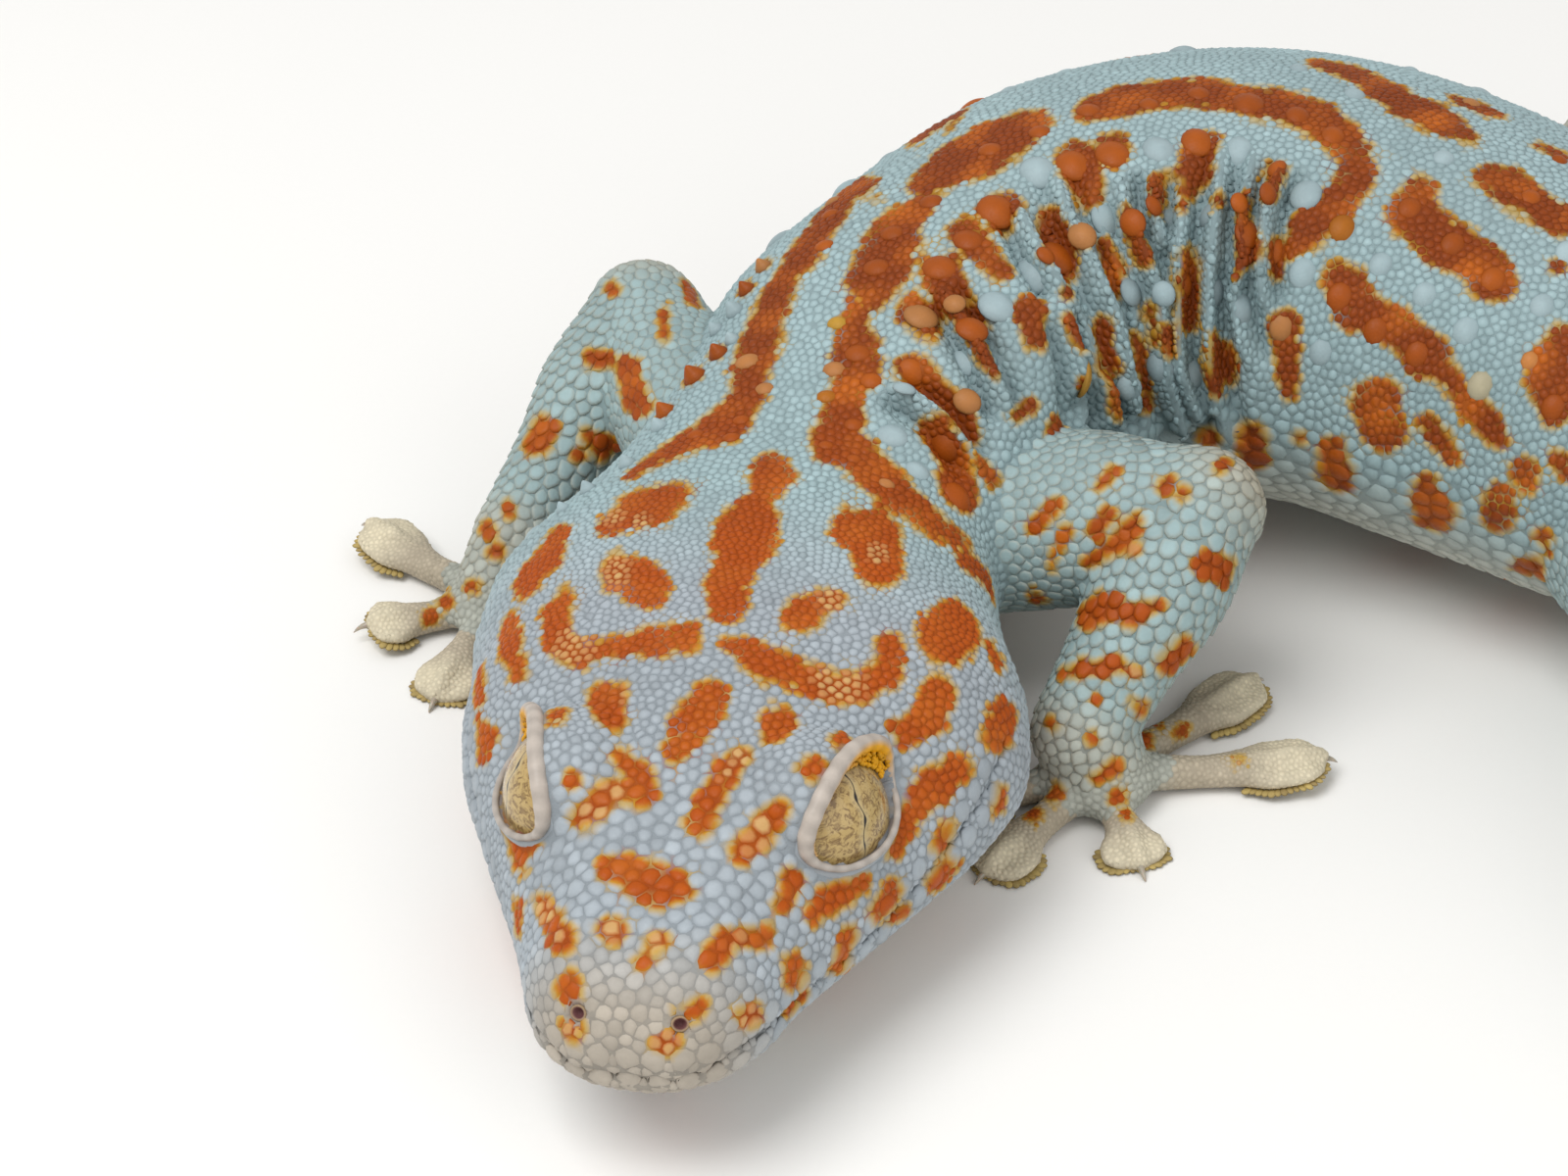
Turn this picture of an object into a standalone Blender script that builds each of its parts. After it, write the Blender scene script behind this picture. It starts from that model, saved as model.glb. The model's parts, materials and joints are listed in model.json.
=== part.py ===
# Tokay gecko, life size: the solids of head, body, limbs and tail.
# Lengths in the tables are millimetres; the finished meshes are metres, +Z up.
# The animal is laid out along its spine, from the snout tip (0) to the tail tip.

import math
import random

import bmesh
import bpy
from mathutils import Matrix, Vector

MM = 0.001
GAP = 0.3

# Driving sizes of the animal, in millimetres
HEAD_END = 46.0
JAW_END = 34.0
TAIL_START = 160.0
TAIL_END = 322.0
LENGTHS = [
    ("neck", HEAD_END, 64.0),
    ("torso_front", 64.0, 90.0),
    ("torso_middle", 90.0, 116.0),
    ("torso_rear", 116.0, 143.0),
    ("hips", 143.0, TAIL_START),
    ("tail_base", TAIL_START, 210.0),
    ("tail_middle", 210.0, 264.0),
    ("tail_tip", 264.0, TAIL_END),
]
RING_STEP = 4.0
TAIL_STEP = 7.0
HEAD_RINGS = 16
HEAD_SIDES = 28
TRUNK_SIDES = 24
TAIL_SIDES = 16
LIMB_SIDES = 12

# Direction of the spine seen from above, in degrees: distance from the snout, heading
HEADING = [
    (0, 77.7), (48, 77.5), (57, 71), (66, 60), (76, 48), (86, 34), (96, 14), (106, -9),
    (116, -31), (124, -42), (134, -43), (144, -36), (154, -32), (171, -40), (206, -60),
    (251, -80), (322, -70),
]

# Cross sections: distance, centre height, half width, up, down, roll, squareness
SECTIONS = [
    (0.0, 10.0, 3.4, 2.2, 1.7, 3, 2.3),
    (1.0, 10.0, 5.1, 4.1, 2.6, 3, 2.3),
    (2.5, 10.0, 6.8, 5.6, 3.3, 3, 2.3),
    (5.0, 10.0, 8.3, 7.0, 4.0, 3, 2.3),
    (9.0, 10.0, 9.9, 8.4, 4.9, 3, 2.0),
    (15.0, 10.0, 12.9, 10.3, 5.9, 3, 2.0),
    (21.0, 10.0, 16.0, 12.0, 6.6, 3, 2.0),
    (27.0, 10.0, 18.9, 12.9, 7.1, 3, 2.0),
    (33.0, 10.0, 20.3, 13.2, 7.5, 3, 2.1),
    (39.0, 10.2, 19.4, 13.1, 7.6, 3, 2.2),
    (44.0, 10.5, 17.2, 12.7, 7.5, 3, 2.2),
    (49.0, 11.0, 15.6, 12.4, 7.4, 4, 2.2),
    (54.0, 11.5, 14.8, 12.0, 8.4, 5, 2.3),
    (62.0, 13.0, 16.0, 12.9, 11.2, 8, 2.6),
    (70.0, 15.3, 16.8, 13.9, 13.4, 11, 2.5),
    (80.0, 17.2, 17.9, 14.9, 14.8, 13, 2.2),
    (92.0, 18.2, 20.4, 16.7, 16.2, 13, 2.2),
    (106.0, 18.4, 22.0, 17.5, 16.6, 13, 2.2),
    (121.0, 18.0, 20.9, 16.7, 16.2, 12, 2.2),
    (134.0, 17.0, 17.4, 15.0, 14.8, 9, 2.2),
    (146.0, 15.5, 15.0, 12.6, 12.6, 5, 2.2),
    (156.0, 13.2, 12.0, 10.6, 10.7, 2, 2.1),
    (168.0, 9.8, 9.4, 9.1, 10.1, 0, 2.1),
    (186.0, 8.1, 8.2, 7.9, 8.4, 0, 2.0),
    (211.0, 7.0, 7.1, 6.9, 7.3, 0, 2.0),
    (236.0, 5.9, 6.0, 5.8, 6.2, 0, 2.0),
    (266.0, 4.5, 4.5, 4.4, 4.8, 0, 2.0),
    (296.0, 3.0, 3.0, 2.9, 3.3, 0, 2.0),
    (314.0, 2.0, 1.9, 1.8, 2.3, 0, 2.0),
    (322.0, 1.2, 1.0, 0.9, 1.5, 0, 2.0),
]

# Extra half width of the right side, where the bent neck pushes the jaw muscles out: distance, width
RIGHT_SWELL = [
    (0, 0), (33, 0), (37, 1.3), (40, 2.8), (43, 4.4), (46, 5.6), (49, 5.4), (52, 4.2), (55, 2.6), (58, 0.8),
    (62, -0.8), (66, -0.8), (70, 0), (322, 0),
]

# Line of the mouth: distance from the snout, height over the mouth plane
MOUTH_LINE = [(-3, -0.4), (0, -0.4), (5, -0.9), (12, -1.2), (20, -1.3), (28, -0.6), (34, 0.6)]

# Eyes and lids: centre (distance, side, height over the mouth plane)
EYE_RADIUS = 5.4
EYE_CENTRE = (20.0, 7.8, 5.7)
EYE_AXIS = (-0.33, 0.84, 0.42)
ORBIT_WALL = 0.7
LID_LONG = 4.75
LID_SHORT = 3.4
LID_THICK = 0.6
LID_TILT = 8.0
OPENING_DEPTH = 3.0
NOSTRIL = (1.6, 3.3, 4.3, 0.75)
EAR = {"at": 41.0, "angle": 0.12, "wide": 1.3, "deep": 2.2, "tall": 2.6}

# Block that parts the lower jaw from the head, beyond the head on every side
JAW_HINGE = 5.0
JAW_ROOT_DEPTH = -12.0
JAW_BLOCK_DEPTH = -30.0
JAW_BLOCK_SIDE = 40.0

# Limbs: shoulder or hip, elbow or knee, wrist or ankle, then the radii at root, middle,
# lower swelling and end
LIMBS = {
    "arm_left": [(25.5, 56, 13), (40.4, 51.5, 17.5), (31.4, 40.5, 5.5), 6.8, 4.9, 5.3, 3.9],
    "arm_right": [(6, 60, 13), (-1.2, 79.5, 16.5), (-11.0, 64, 6.0), 6.4, 4.9, 5.1, 3.6],
    "leg_left": [(73, 54, 13), (80.5, 29, 16), (78, 8.5, 6.0), 7.4, 5.8, 6.0, 3.8],
    "leg_right": [(86, 73, 14), (80, 102.5, 17.5), (92, 116, 6.0), 7.4, 5.8, 6.0, 3.8],
}
BODY_BY_LIMB = {"arm": (HEAD_END, 116.0), "leg": (116.0, 190.0)}
FEET = {
    "arm_left": "hand_left",
    "arm_right": "hand_right",
    "leg_left": "foot_left",
    "leg_right": "foot_right",
}

# Digit tips on the floor, first digit first: x, y, lift of the tip
DIGITS = {
    "arm_left": [(23.0, 38.5, 0), (24.2, 30.6, 0), (35.3, 31.3, 0), (49.7, 42.3, 1.2), (45.7, 52.2, 0.8)],
    "arm_right": [(-3.5, 53.5, 0), (-9.0, 49.5, 0), (-16.5, 50.8, 0), (-22.2, 59.0, 1.0), (-23.2, 71.6, 1.6)],
    "leg_left": [(70, 2, 0), (69, -5.5, 0), (76.5, -10.5, 0), (87, -9, 0), (93, 4, 0)],
    "leg_right": [(84, 124, 0), (83, 133, 0), (92, 137, 0), (102.5, 133.5, 0), (105, 120, 0)],
}
PALM_RADIUS = {"arm": 4.3, "leg": 5.0}
PALM_THICK = 2.5
PALM_HEIGHT = 2.1
PALM_REACH = 0.35
WRIST_LOW = 3.0
TOE_START = 2.0
TOE_START_HEIGHT = 0.6
TOE_SIDES = 6
TOE_ROOT = 1.5
TOE_WAIST = 1.25
PAD_HALF = 2.6
PAD_THICK = 1.5
CLAW_ROOT = 0.9
CLAW_HEIGHT = 1.2
CLAW_LIFT = 0.75
CLAW_LENGTH = 1.7
CLAW_RADIUS = 0.45
SOLE_SINK = 0.25
FLOOR_DEPTH = 20.0

# Tubercles in rows over the back: rows, spacing along the body, size and spread of sizes
TUBERCLES = {
    "head": {"rows": 7, "low": 25, "high": 155, "step": 4.8, "radius": 0.75, "height": 0.6},
    "neck": {"rows": 7, "low": 10, "high": 170, "step": 6.0, "radius": 1.1, "height": 0.9},
    "torso": {"rows": 9, "low": 5, "high": 175, "step": 7.0, "radius": 1.4, "height": 1.1},
    "hips": {"rows": 6, "low": 30, "high": 150, "step": 7.0, "radius": 1.3, "height": 1.1},
    "tail": {"rows": 6, "low": 20, "high": 160, "step": 10.0, "radius": 1.15, "height": 1.1},
}
TUBERCLE_SIDES = 5
TUBERCLE_SINK = 0.8
TUBERCLE_RINGS = [(0.3, 0.85), (1.0, 0.22)]
TUBERCLE_LIMB_CLEAR = 2.2
TUBERCLE_TURN = 3.0
TUBERCLE_DRIFT = 0.1
TUBERCLE_SPREAD = 0.22
TUBERCLE_APART = 3.6
TUBERCLE_START = 36.0
TUBERCLE_STOP = 285.0
TUBERCLE_FULL_WIDTH = 8.0
SEED = 7

SKIN = (0.38, 0.52, 0.56)
TOE_SKIN = (0.60, 0.54, 0.34)
IRIS = (0.54, 0.38, 0.15)


def smooth_value(table, column, at):
    """Value of one column of a table at a distance, on a smooth monotone curve."""
    xs = [row[0] for row in table]
    ys = [row[column] for row in table]
    last = len(xs) - 1
    if at <= xs[0]:
        return ys[0]
    if at >= xs[last]:
        return ys[last]
    k = max(i for i in range(last) if xs[i] <= at)

    def slope(i):
        if i == 0 or i == last:
            return 0.0 if i else (ys[1] - ys[0]) / (xs[1] - xs[0])
        before = (ys[i] - ys[i - 1]) / (xs[i] - xs[i - 1])
        after = (ys[i + 1] - ys[i]) / (xs[i + 1] - xs[i])
        if before * after <= 0:
            return 0.0
        return 2 * before * after / (before + after)

    step = xs[k + 1] - xs[k]
    u = (at - xs[k]) / step
    rise = ys[k] * (1 + 2 * u) * (1 - u) ** 2 + ys[k + 1] * u * u * (3 - 2 * u)
    bend = slope(k) * u * (1 - u) ** 2 - slope(k + 1) * u * u * (1 - u)
    return rise + step * bend


def walk_spine():
    """Places along the spine seen from above, one for each half millimetre."""
    step = 0.5
    places = [(0.0, 0.0)]
    for i in range(int(TAIL_END / step) + 20):
        angle = math.radians(smooth_value(HEADING, 1, (i + 0.5) * step))
        x, y = places[-1]
        places.append((x + step * math.cos(angle), y + step * math.sin(angle)))
    return step, places


SPINE_STEP, SPINE = walk_spine()


def spine_frame(at):
    """Centre, backward, left and up directions of the section at a distance."""
    k = max(0, min(int(at / SPINE_STEP), len(SPINE) - 2))
    u = at / SPINE_STEP - k
    x = SPINE[k][0] + u * (SPINE[k + 1][0] - SPINE[k][0])
    y = SPINE[k][1] + u * (SPINE[k + 1][1] - SPINE[k][1])
    angle = math.radians(smooth_value(HEADING, 1, at))
    roll = math.radians(smooth_value(SECTIONS, 5, at))
    centre = Vector((x, y, smooth_value(SECTIONS, 1, at)))
    back = Vector((math.cos(angle), math.sin(angle), 0))
    side = Vector((math.sin(angle), -math.cos(angle), 0))
    up = Vector((0, 0, 1))
    left = side * math.cos(roll) + up * math.sin(roll)
    top = up * math.cos(roll) - side * math.sin(roll)
    return centre, back, left, top


def head_point(along, side, height):
    """Point of the head, from its distance, side and height over the mouth plane."""
    centre, back, left, top = spine_frame(0.0)
    return centre + back * along + left * side + top * height


def head_direction(along, side, height):
    return (head_point(along, side, height) - head_point(0.0, 0.0, 0.0)).normalized()


def power(value, exponent):
    return math.copysign(abs(value) ** exponent, value)


def section_point(at, angle, grow=0.0):
    """Point of the body's surface at a distance and an angle round the section."""
    centre, back, left, top = spine_frame(at)
    square = 2.0 / smooth_value(SECTIONS, 6, at)
    width = smooth_value(SECTIONS, 2, at) + grow
    if math.cos(angle) < 0:
        width += smooth_value(RIGHT_SWELL, 1, at)
    height = smooth_value(SECTIONS, 3 if math.sin(angle) > 0 else 4, at) + grow
    side = width * power(math.cos(angle), square)
    rise = height * power(math.sin(angle), square)
    return centre + left * side + top * rise


def make_object(name, mesh_data):
    mesh = bpy.data.meshes.new(name)
    mesh_data.to_mesh(mesh)
    mesh_data.free()
    thing = bpy.data.objects.new(name, mesh)
    bpy.context.scene.collection.objects.link(thing)
    return thing


def loft(name, rings):
    """Closed solid through a list of rings of points with a flat cap at each end."""
    work = bmesh.new()
    rows = [[work.verts.new(Vector(p) * MM) for p in ring] for ring in rings]
    count = len(rows[0])
    for a, b in zip(rows, rows[1:]):
        for i in range(count):
            j = (i + 1) % count
            work.faces.new((a[i], a[j], b[j], b[i]))
    work.faces.new(list(reversed(rows[0])))
    work.faces.new(rows[-1])
    bmesh.ops.recalc_face_normals(work, faces=work.faces)
    if work.calc_volume(signed=True) < 0:
        bmesh.ops.reverse_faces(work, faces=work.faces)
    return make_object(name, work)


def body_loft(name, start, end, sides, grow=0.0):
    """A length of the body between two distances along the spine."""
    steps = max(2, round((end - start) / (RING_STEP if start < TAIL_START else TAIL_STEP)))
    rings = []
    for i in range(steps + 1):
        at = start + (end - start) * i / steps
        ring = [section_point(at, 2 * math.pi * k / sides, grow) for k in range(sides)]
        rings.append(ring)
    return loft(name, rings)


def ball_rings(centre, axis, radius, sides, first, last, steps):
    """Rings of part of a ball, between two angles from its pole."""
    turn = Vector((0, 0, 1)).rotation_difference(axis).to_matrix()
    rings = []
    for i in range(steps + 1):
        polar = first + (last - first) * i / steps
        ring = []
        for k in range(sides):
            angle = 2 * math.pi * k / sides
            flat = radius * math.sin(polar)
            local = Vector((flat * math.cos(angle), flat * math.sin(angle), radius * math.cos(polar)))
            ring.append(centre + turn @ local)
        rings.append(ring)
    return rings


def ball(name, centre, radius, axis=Vector((0, 0, 1)), sides=16, steps=8):
    tiny = 0.16
    rings = ball_rings(centre, axis, radius, sides, math.pi - tiny, tiny, steps)
    return loft(name, rings)


def bone(name, start, end, radii, sides=LIMB_SIDES, grow=0.0):
    """Round-ended limb segment from one joint to the next, its radius changing on the way."""
    axis = (end - start).normalized()
    length = (end - start).length
    turn = Vector((0, 0, 1)).rotation_difference(axis).to_matrix()
    table = [(length * i / (len(radii) - 1), radii[i] + grow) for i in range(len(radii))]
    rings = []

    def ring(along, radius):
        out = []
        for k in range(sides):
            angle = 2 * math.pi * k / sides
            out.append(start + turn @ Vector((radius * math.cos(angle), radius * math.sin(angle), along)))
        return out

    for angle in (1.2, 0.6):
        rings.append(ring(-table[0][1] * math.sin(angle), table[0][1] * math.cos(angle)))
    steps = max(3, round(length / RING_STEP))
    for i in range(steps + 1):
        at = length * i / steps
        rings.append(ring(at, smooth_value(table, 1, at)))
    for angle in (0.6, 1.2):
        rings.append(ring(length + table[-1][1] * math.sin(angle), table[-1][1] * math.cos(angle)))
    return loft(name, rings)


def apply_boolean(thing, other, operation, solver="EXACT"):
    """Joins or cuts one object with another, and removes the other."""
    step = thing.modifiers.new("step", "BOOLEAN")
    step.operation = operation
    step.solver = solver
    step.object = other
    bake(thing)
    bpy.data.objects.remove(other)


def bake(thing):
    """Replaces an object's mesh by what its modifiers give."""
    graph = bpy.context.evaluated_depsgraph_get()
    result = bpy.data.meshes.new_from_object(thing.evaluated_get(graph))
    thing.modifiers.clear()
    thing.data = result


def join_pieces(thing, pieces, solver="EXACT"):
    """One union of a solid with a collection of closed pieces, which is then removed."""
    if not pieces:
        return
    group = bpy.data.collections.new("pieces")
    bpy.context.scene.collection.children.link(group)
    for piece in pieces:
        bpy.context.scene.collection.objects.unlink(piece)
        group.objects.link(piece)
    step = thing.modifiers.new("union", "BOOLEAN")
    step.operation = "UNION"
    step.solver = solver
    step.operand_type = "COLLECTION"
    step.collection = group
    bake(thing)
    for piece in pieces:
        bpy.data.objects.remove(piece)
    bpy.data.collections.remove(group)


def keep_largest(thing):
    """Keeps an object's largest closed surface and drops every other scrap."""
    work = bmesh.new()
    work.from_mesh(thing.data)
    bmesh.ops.remove_doubles(work, verts=work.verts, dist=0.002 * MM)
    bmesh.ops.dissolve_degenerate(work, edges=work.edges, dist=0.002 * MM)
    work.verts.ensure_lookup_table()
    seen = set()
    groups = []
    for vert in work.verts:
        if vert.index in seen:
            continue
        stack = [vert]
        seen.add(vert.index)
        group = []
        while stack:
            here = stack.pop()
            group.append(here)
            for edge in here.link_edges:
                other = edge.other_vert(here)
                if other.index not in seen:
                    seen.add(other.index)
                    stack.append(other)
        groups.append(group)

    def reach(group):
        spans = [max(v.co[i] for v in group) - min(v.co[i] for v in group) for i in range(3)]
        return sum(spans)

    groups.sort(key=reach, reverse=True)
    for group in groups[1:]:
        bmesh.ops.delete(work, geom=group, context="VERTS")
    work.to_mesh(thing.data)
    work.free()


def box(name, low, high):
    corners = [(low[0], low[1]), (high[0], low[1]), (high[0], high[1]), (low[0], high[1])]
    rings = [[(x, y, z) for x, y in corners] for z in (low[2], high[2])]
    return loft(name, rings)


def below_floor():
    reach = TAIL_END
    return box("below_floor", (-reach, -reach, -FLOOR_DEPTH), (reach, reach, 0))


def jaw_block(shift):
    """Block under the line of the mouth, which parts the lower jaw from the head."""
    line = [(along, height + shift) for along, height in MOUTH_LINE]
    line[-1] = (line[-1][0] + shift, line[-1][1])
    hinge = JAW_END + JAW_HINGE + shift
    back = [(hinge, JAW_ROOT_DEPTH), (hinge, JAW_BLOCK_DEPTH), (MOUTH_LINE[0][0], JAW_BLOCK_DEPTH)]
    rings = []
    for side in (-JAW_BLOCK_SIDE, JAW_BLOCK_SIDE):
        rings.append([head_point(along, side, height) for along, height in line + back])
    return loft("jaw_block", rings)


def eye_frame(side):
    """Centre, outward axis, long and short directions of an eye opening."""
    centre = head_point(EYE_CENTRE[0], EYE_CENTRE[1] * side, EYE_CENTRE[2])
    axis = head_direction(EYE_AXIS[0], EYE_AXIS[1] * side, EYE_AXIS[2])
    forward = head_direction(-math.cos(math.radians(LID_TILT)), 0, -math.sin(math.radians(LID_TILT)))
    along = (forward - axis * forward.dot(axis)).normalized()
    return centre, axis, along, axis.cross(along)


def lid_point(side, angle, reach, share=1.0):
    """Point over the edge of the eye opening, on a ball of a given radius round the eye."""
    centre, axis, along, across = eye_frame(side)
    flat = along * (LID_LONG * share * math.cos(angle)) + across * (LID_SHORT * share * math.sin(angle))
    depth = math.sqrt(max(0.0, reach * reach - flat.length ** 2))
    return centre + flat + axis * depth


def lid(side):
    """Raised rim round an eye opening, laid on the orbit's wall."""
    centre = eye_frame(side)[0]
    turns = 20
    sides = 5
    reach = EYE_RADIUS + GAP + ORBIT_WALL * 0.8
    work = bmesh.new()
    rows = []
    for i in range(turns):
        middle = lid_point(side, 2 * math.pi * i / turns, reach)
        ahead = lid_point(side, 2 * math.pi * (i + 0.1) / turns, reach)
        outward = (middle - centre).normalized()
        away = outward.cross(ahead - middle).normalized()
        row = []
        for k in range(sides):
            turn = 2 * math.pi * k / sides
            spoke = outward * math.sin(turn) + away * math.cos(turn)
            row.append(work.verts.new((middle + spoke * LID_THICK) * MM))
        rows.append(row)
    for i in range(turns):
        a, b = rows[i], rows[(i + 1) % turns]
        for k in range(sides):
            j = (k + 1) % sides
            work.faces.new((a[k], a[j], b[j], b[k]))
    bmesh.ops.recalc_face_normals(work, faces=work.faces)
    if work.calc_volume(signed=True) < 0:
        bmesh.ops.reverse_faces(work, faces=work.faces)
    return make_object("lid", work)


def eye_opening(side):
    """Cutter for the opening between the lids, from inside the eye straight outwards."""
    centre, axis, along, across = eye_frame(side)
    rings = [[], [], []]
    turns = 20
    for k in range(turns):
        rim = lid_point(side, 2 * math.pi * k / turns, EYE_RADIUS + GAP)
        rings[0].append(centre + (rim - centre) * 0.3)
        rings[1].append(rim)
        rings[2].append(rim + axis * OPENING_DEPTH)
    return loft("opening", rings)


def ear_cup(side):
    """Cutter for the hollow of one ear, behind the corner of the mouth."""
    edge = section_point(EAR["at"], EAR["angle"] if side > 0 else math.pi - EAR["angle"])
    centre, back, left, top = spine_frame(EAR["at"])
    cup = ball("ear", Vector((0, 0, 0)), 1.0, sides=10, steps=6)
    spin = Matrix((back * -EAR["wide"], left * EAR["deep"], top * EAR["tall"])).transposed().to_4x4()
    cup.data.transform(Matrix.Translation(edge * MM) @ spin)
    return cup


def nostril(side):
    along, out, height, radius = NOSTRIL
    return ball("nostril", head_point(along, out * side, height), radius, sides=8, steps=4)


def make_head():
    """Head and lower jaw, with lids, eye sockets, nostrils and ear cups."""
    rings = []
    for i in range(HEAD_RINGS + 1):
        at = (HEAD_END - GAP / 2) * (i / HEAD_RINGS) ** 1.5
        rings.append([section_point(at, 2 * math.pi * k / HEAD_SIDES) for k in range(HEAD_SIDES)])
    whole = loft("head", rings)
    orbits = []
    for side in (-1, 1):
        centre, axis, along, across = eye_frame(side)
        orbits.append(ball("orbit", centre, EYE_RADIUS + GAP + ORBIT_WALL, along, 18, 9))
        orbits.append(lid(side))
    join_pieces(whole, orbits + tubercles_on("head", TUBERCLE_START, HEAD_END, random.Random(SEED)))
    for side in (-1, 1):
        centre, axis, along, across = eye_frame(side)
        socket = ball("socket", centre, EYE_RADIUS + GAP, axis, 16, 8)
        join_pieces(socket, [eye_opening(side)])
        apply_boolean(whole, socket, "DIFFERENCE", "MANIFOLD")
        apply_boolean(whole, nostril(side), "DIFFERENCE")
        apply_boolean(whole, ear_cup(side), "DIFFERENCE")
    jaw = bpy.data.objects.new("jaw", whole.data.copy())
    bpy.context.scene.collection.objects.link(jaw)
    apply_boolean(jaw, jaw_block(-GAP / 2), "INTERSECT")
    apply_boolean(whole, jaw_block(GAP / 2), "DIFFERENCE")
    keep_largest(jaw)
    keep_largest(whole)
    return [whole, jaw]


def make_eyes():
    made = []
    for name, side in (("eye_left", 1), ("eye_right", -1)):
        centre, axis, along, across = eye_frame(side)
        made.append(ball(name, centre, EYE_RADIUS, axis, 16, 8))
    return made


def surface_normal(at, angle):
    """Outward direction of the body's surface at a distance and an angle."""
    along = section_point(at + 0.5, angle) - section_point(at - 0.5, angle)
    around = section_point(at, angle + 0.03) - section_point(at, angle - 0.03)
    return along.cross(around).normalized()


def tubercle(point, outward, radius, height):
    """One low conical scale, its root sunk in the skin."""
    turn = Vector((0, 0, 1)).rotation_difference(outward).to_matrix()
    rings = []
    profile = [(-TUBERCLE_SINK, 0.8)] + [(share * height, wide) for share, wide in TUBERCLE_RINGS]
    for rise, wide in profile:
        ring = []
        for k in range(TUBERCLE_SIDES):
            angle = 2 * math.pi * k / TUBERCLE_SIDES
            flat = radius * wide
            ring.append(point + turn @ Vector((flat * math.cos(angle), flat * math.sin(angle), rise)))
        rings.append(ring)
    return loft("tubercle", rings)


def near_limb(point):
    """Whether a point of the skin lies where a limb grows."""
    for root, middle, end, r_root, r_mid, r_low, r_end in LIMBS.values():
        a, b = Vector(root), Vector(middle)
        share = max(0.0, min(1.0, (point - a).dot(b - a) / (b - a).length_squared))
        if (point - (a + (b - a) * share)).length < r_root + TUBERCLE_LIMB_CLEAR:
            return True
    return False


def tubercles_on(kind, start, end, draw):
    """Tubercles of one length of the body, in staggered rows over its back."""
    form = TUBERCLES[kind]
    made = []
    places = []
    edge = form["radius"] + GAP
    room = end - start - 2 * edge
    count = int(room / form["step"]) + 1
    for i in range(count):
        at = start + edge + room * (i + 0.5) / count
        for row in range(form["rows"]):
            share = (row + 0.5 * (i % 2) + 0.25) / (form["rows"] - 0.5)
            turn = form["low"] + (form["high"] - form["low"]) * min(share, 1.0)
            angle = math.radians(turn + draw.uniform(-TUBERCLE_TURN, TUBERCLE_TURN))
            place = at + draw.uniform(-TUBERCLE_DRIFT, TUBERCLE_DRIFT) * form["step"]
            size = 1 + draw.uniform(-TUBERCLE_SPREAD, TUBERCLE_SPREAD)
            point = section_point(place, angle)
            crowded = any((point - other).length < TUBERCLE_APART for other in places)
            if share > 1.0 or crowded or near_limb(point):
                continue
            places.append(point)
            size *= min(1.0, smooth_value(SECTIONS, 2, place) / TUBERCLE_FULL_WIDTH)
            outward = surface_normal(place, angle)
            made.append(tubercle(point, outward, form["radius"] * size, form["height"] * size))
    return made


def make_body():
    """Neck, trunk, hips and tail, one length after the other."""
    made = []
    draw = random.Random(SEED)
    for name, start, end in LENGTHS:
        last = 0.0 if end == TAIL_END else GAP / 2
        sides = TAIL_SIDES if name.startswith("tail") else TRUNK_SIDES
        length = body_loft(name, start + GAP / 2, end - last, sides)
        kind = name.split("_")[0]
        join_pieces(length, tubercles_on(kind, start, min(end, TUBERCLE_STOP), draw))
        if name.startswith("tail"):
            apply_boolean(length, below_floor(), "DIFFERENCE")
        keep_largest(length)
        made.append(length)
    return made


def make_limb(name):
    """Upper and lower segment of one limb, cut clear of the body and of each other."""
    root, middle, end, r_root, r_mid, r_low, r_end = LIMBS[name]
    root, middle, end = Vector(root), Vector(middle), Vector(end)
    upper_radii = [r_root, r_root * 0.98, r_mid]
    lower_radii = [r_mid * 0.92, r_low, r_end * 1.1, r_end]
    upper = bone(name + "_upper", root, middle, upper_radii)
    start, stop = BODY_BY_LIMB[name.split("_")[0]]
    apply_boolean(upper, body_loft("clear", start, stop, TRUNK_SIDES, GAP), "DIFFERENCE")
    keep_largest(upper)
    lower = bone(name + "_lower", middle, end, lower_radii)
    apply_boolean(lower, bone("clear", root, middle, upper_radii, grow=GAP), "DIFFERENCE")
    apply_boolean(lower, body_loft("clear", start, stop, TRUNK_SIDES, GAP), "DIFFERENCE")
    keep_largest(lower)
    return [upper, lower], bone("clear", middle, end, lower_radii, grow=GAP)


def toe(base, tip, lift, clawed):
    """One digit: narrow at its root, with a broad flat pad and rounded tip."""
    line = tip - base
    flat = Vector((line.x, line.y, 0)).normalized()
    side = Vector((flat.y, -flat.x, 0))
    length = line.length
    stations = [(0.0, TOE_ROOT, TOE_ROOT), (0.35, TOE_WAIST, TOE_WAIST), (0.55, TOE_WAIST * 1.25, TOE_WAIST),
                (0.72, PAD_HALF, PAD_THICK * 0.62), (0.86, PAD_HALF, PAD_THICK * 0.55),
                (0.95, PAD_HALF * 0.78, PAD_THICK * 0.45), (1.0, PAD_HALF * 0.4, PAD_THICK * 0.25)]
    rings = []
    for share, wide, thick in stations:
        rise = lift * max(0.0, (share - 0.4) / 0.6) ** 1.5
        drop = (1 - share) ** 2 * base.z
        middle = Vector((base.x + line.x * share, base.y + line.y * share,
                         thick - SOLE_SINK + rise + drop))
        ring = []
        for k in range(TOE_SIDES):
            angle = 2 * math.pi * k / TOE_SIDES
            ring.append(middle + side * (wide * math.cos(angle)) + Vector((0, 0, thick * math.sin(angle))))
        rings.append(ring)
    made = [loft("toe", rings)]
    if clawed:
        start = base + line * CLAW_ROOT
        start.z = CLAW_HEIGHT + lift * CLAW_LIFT
        point = start + flat * (length * (1 - CLAW_ROOT) + CLAW_LENGTH)
        made.append(spike("claw", start, point, CLAW_RADIUS, 4))
    return made


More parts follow.
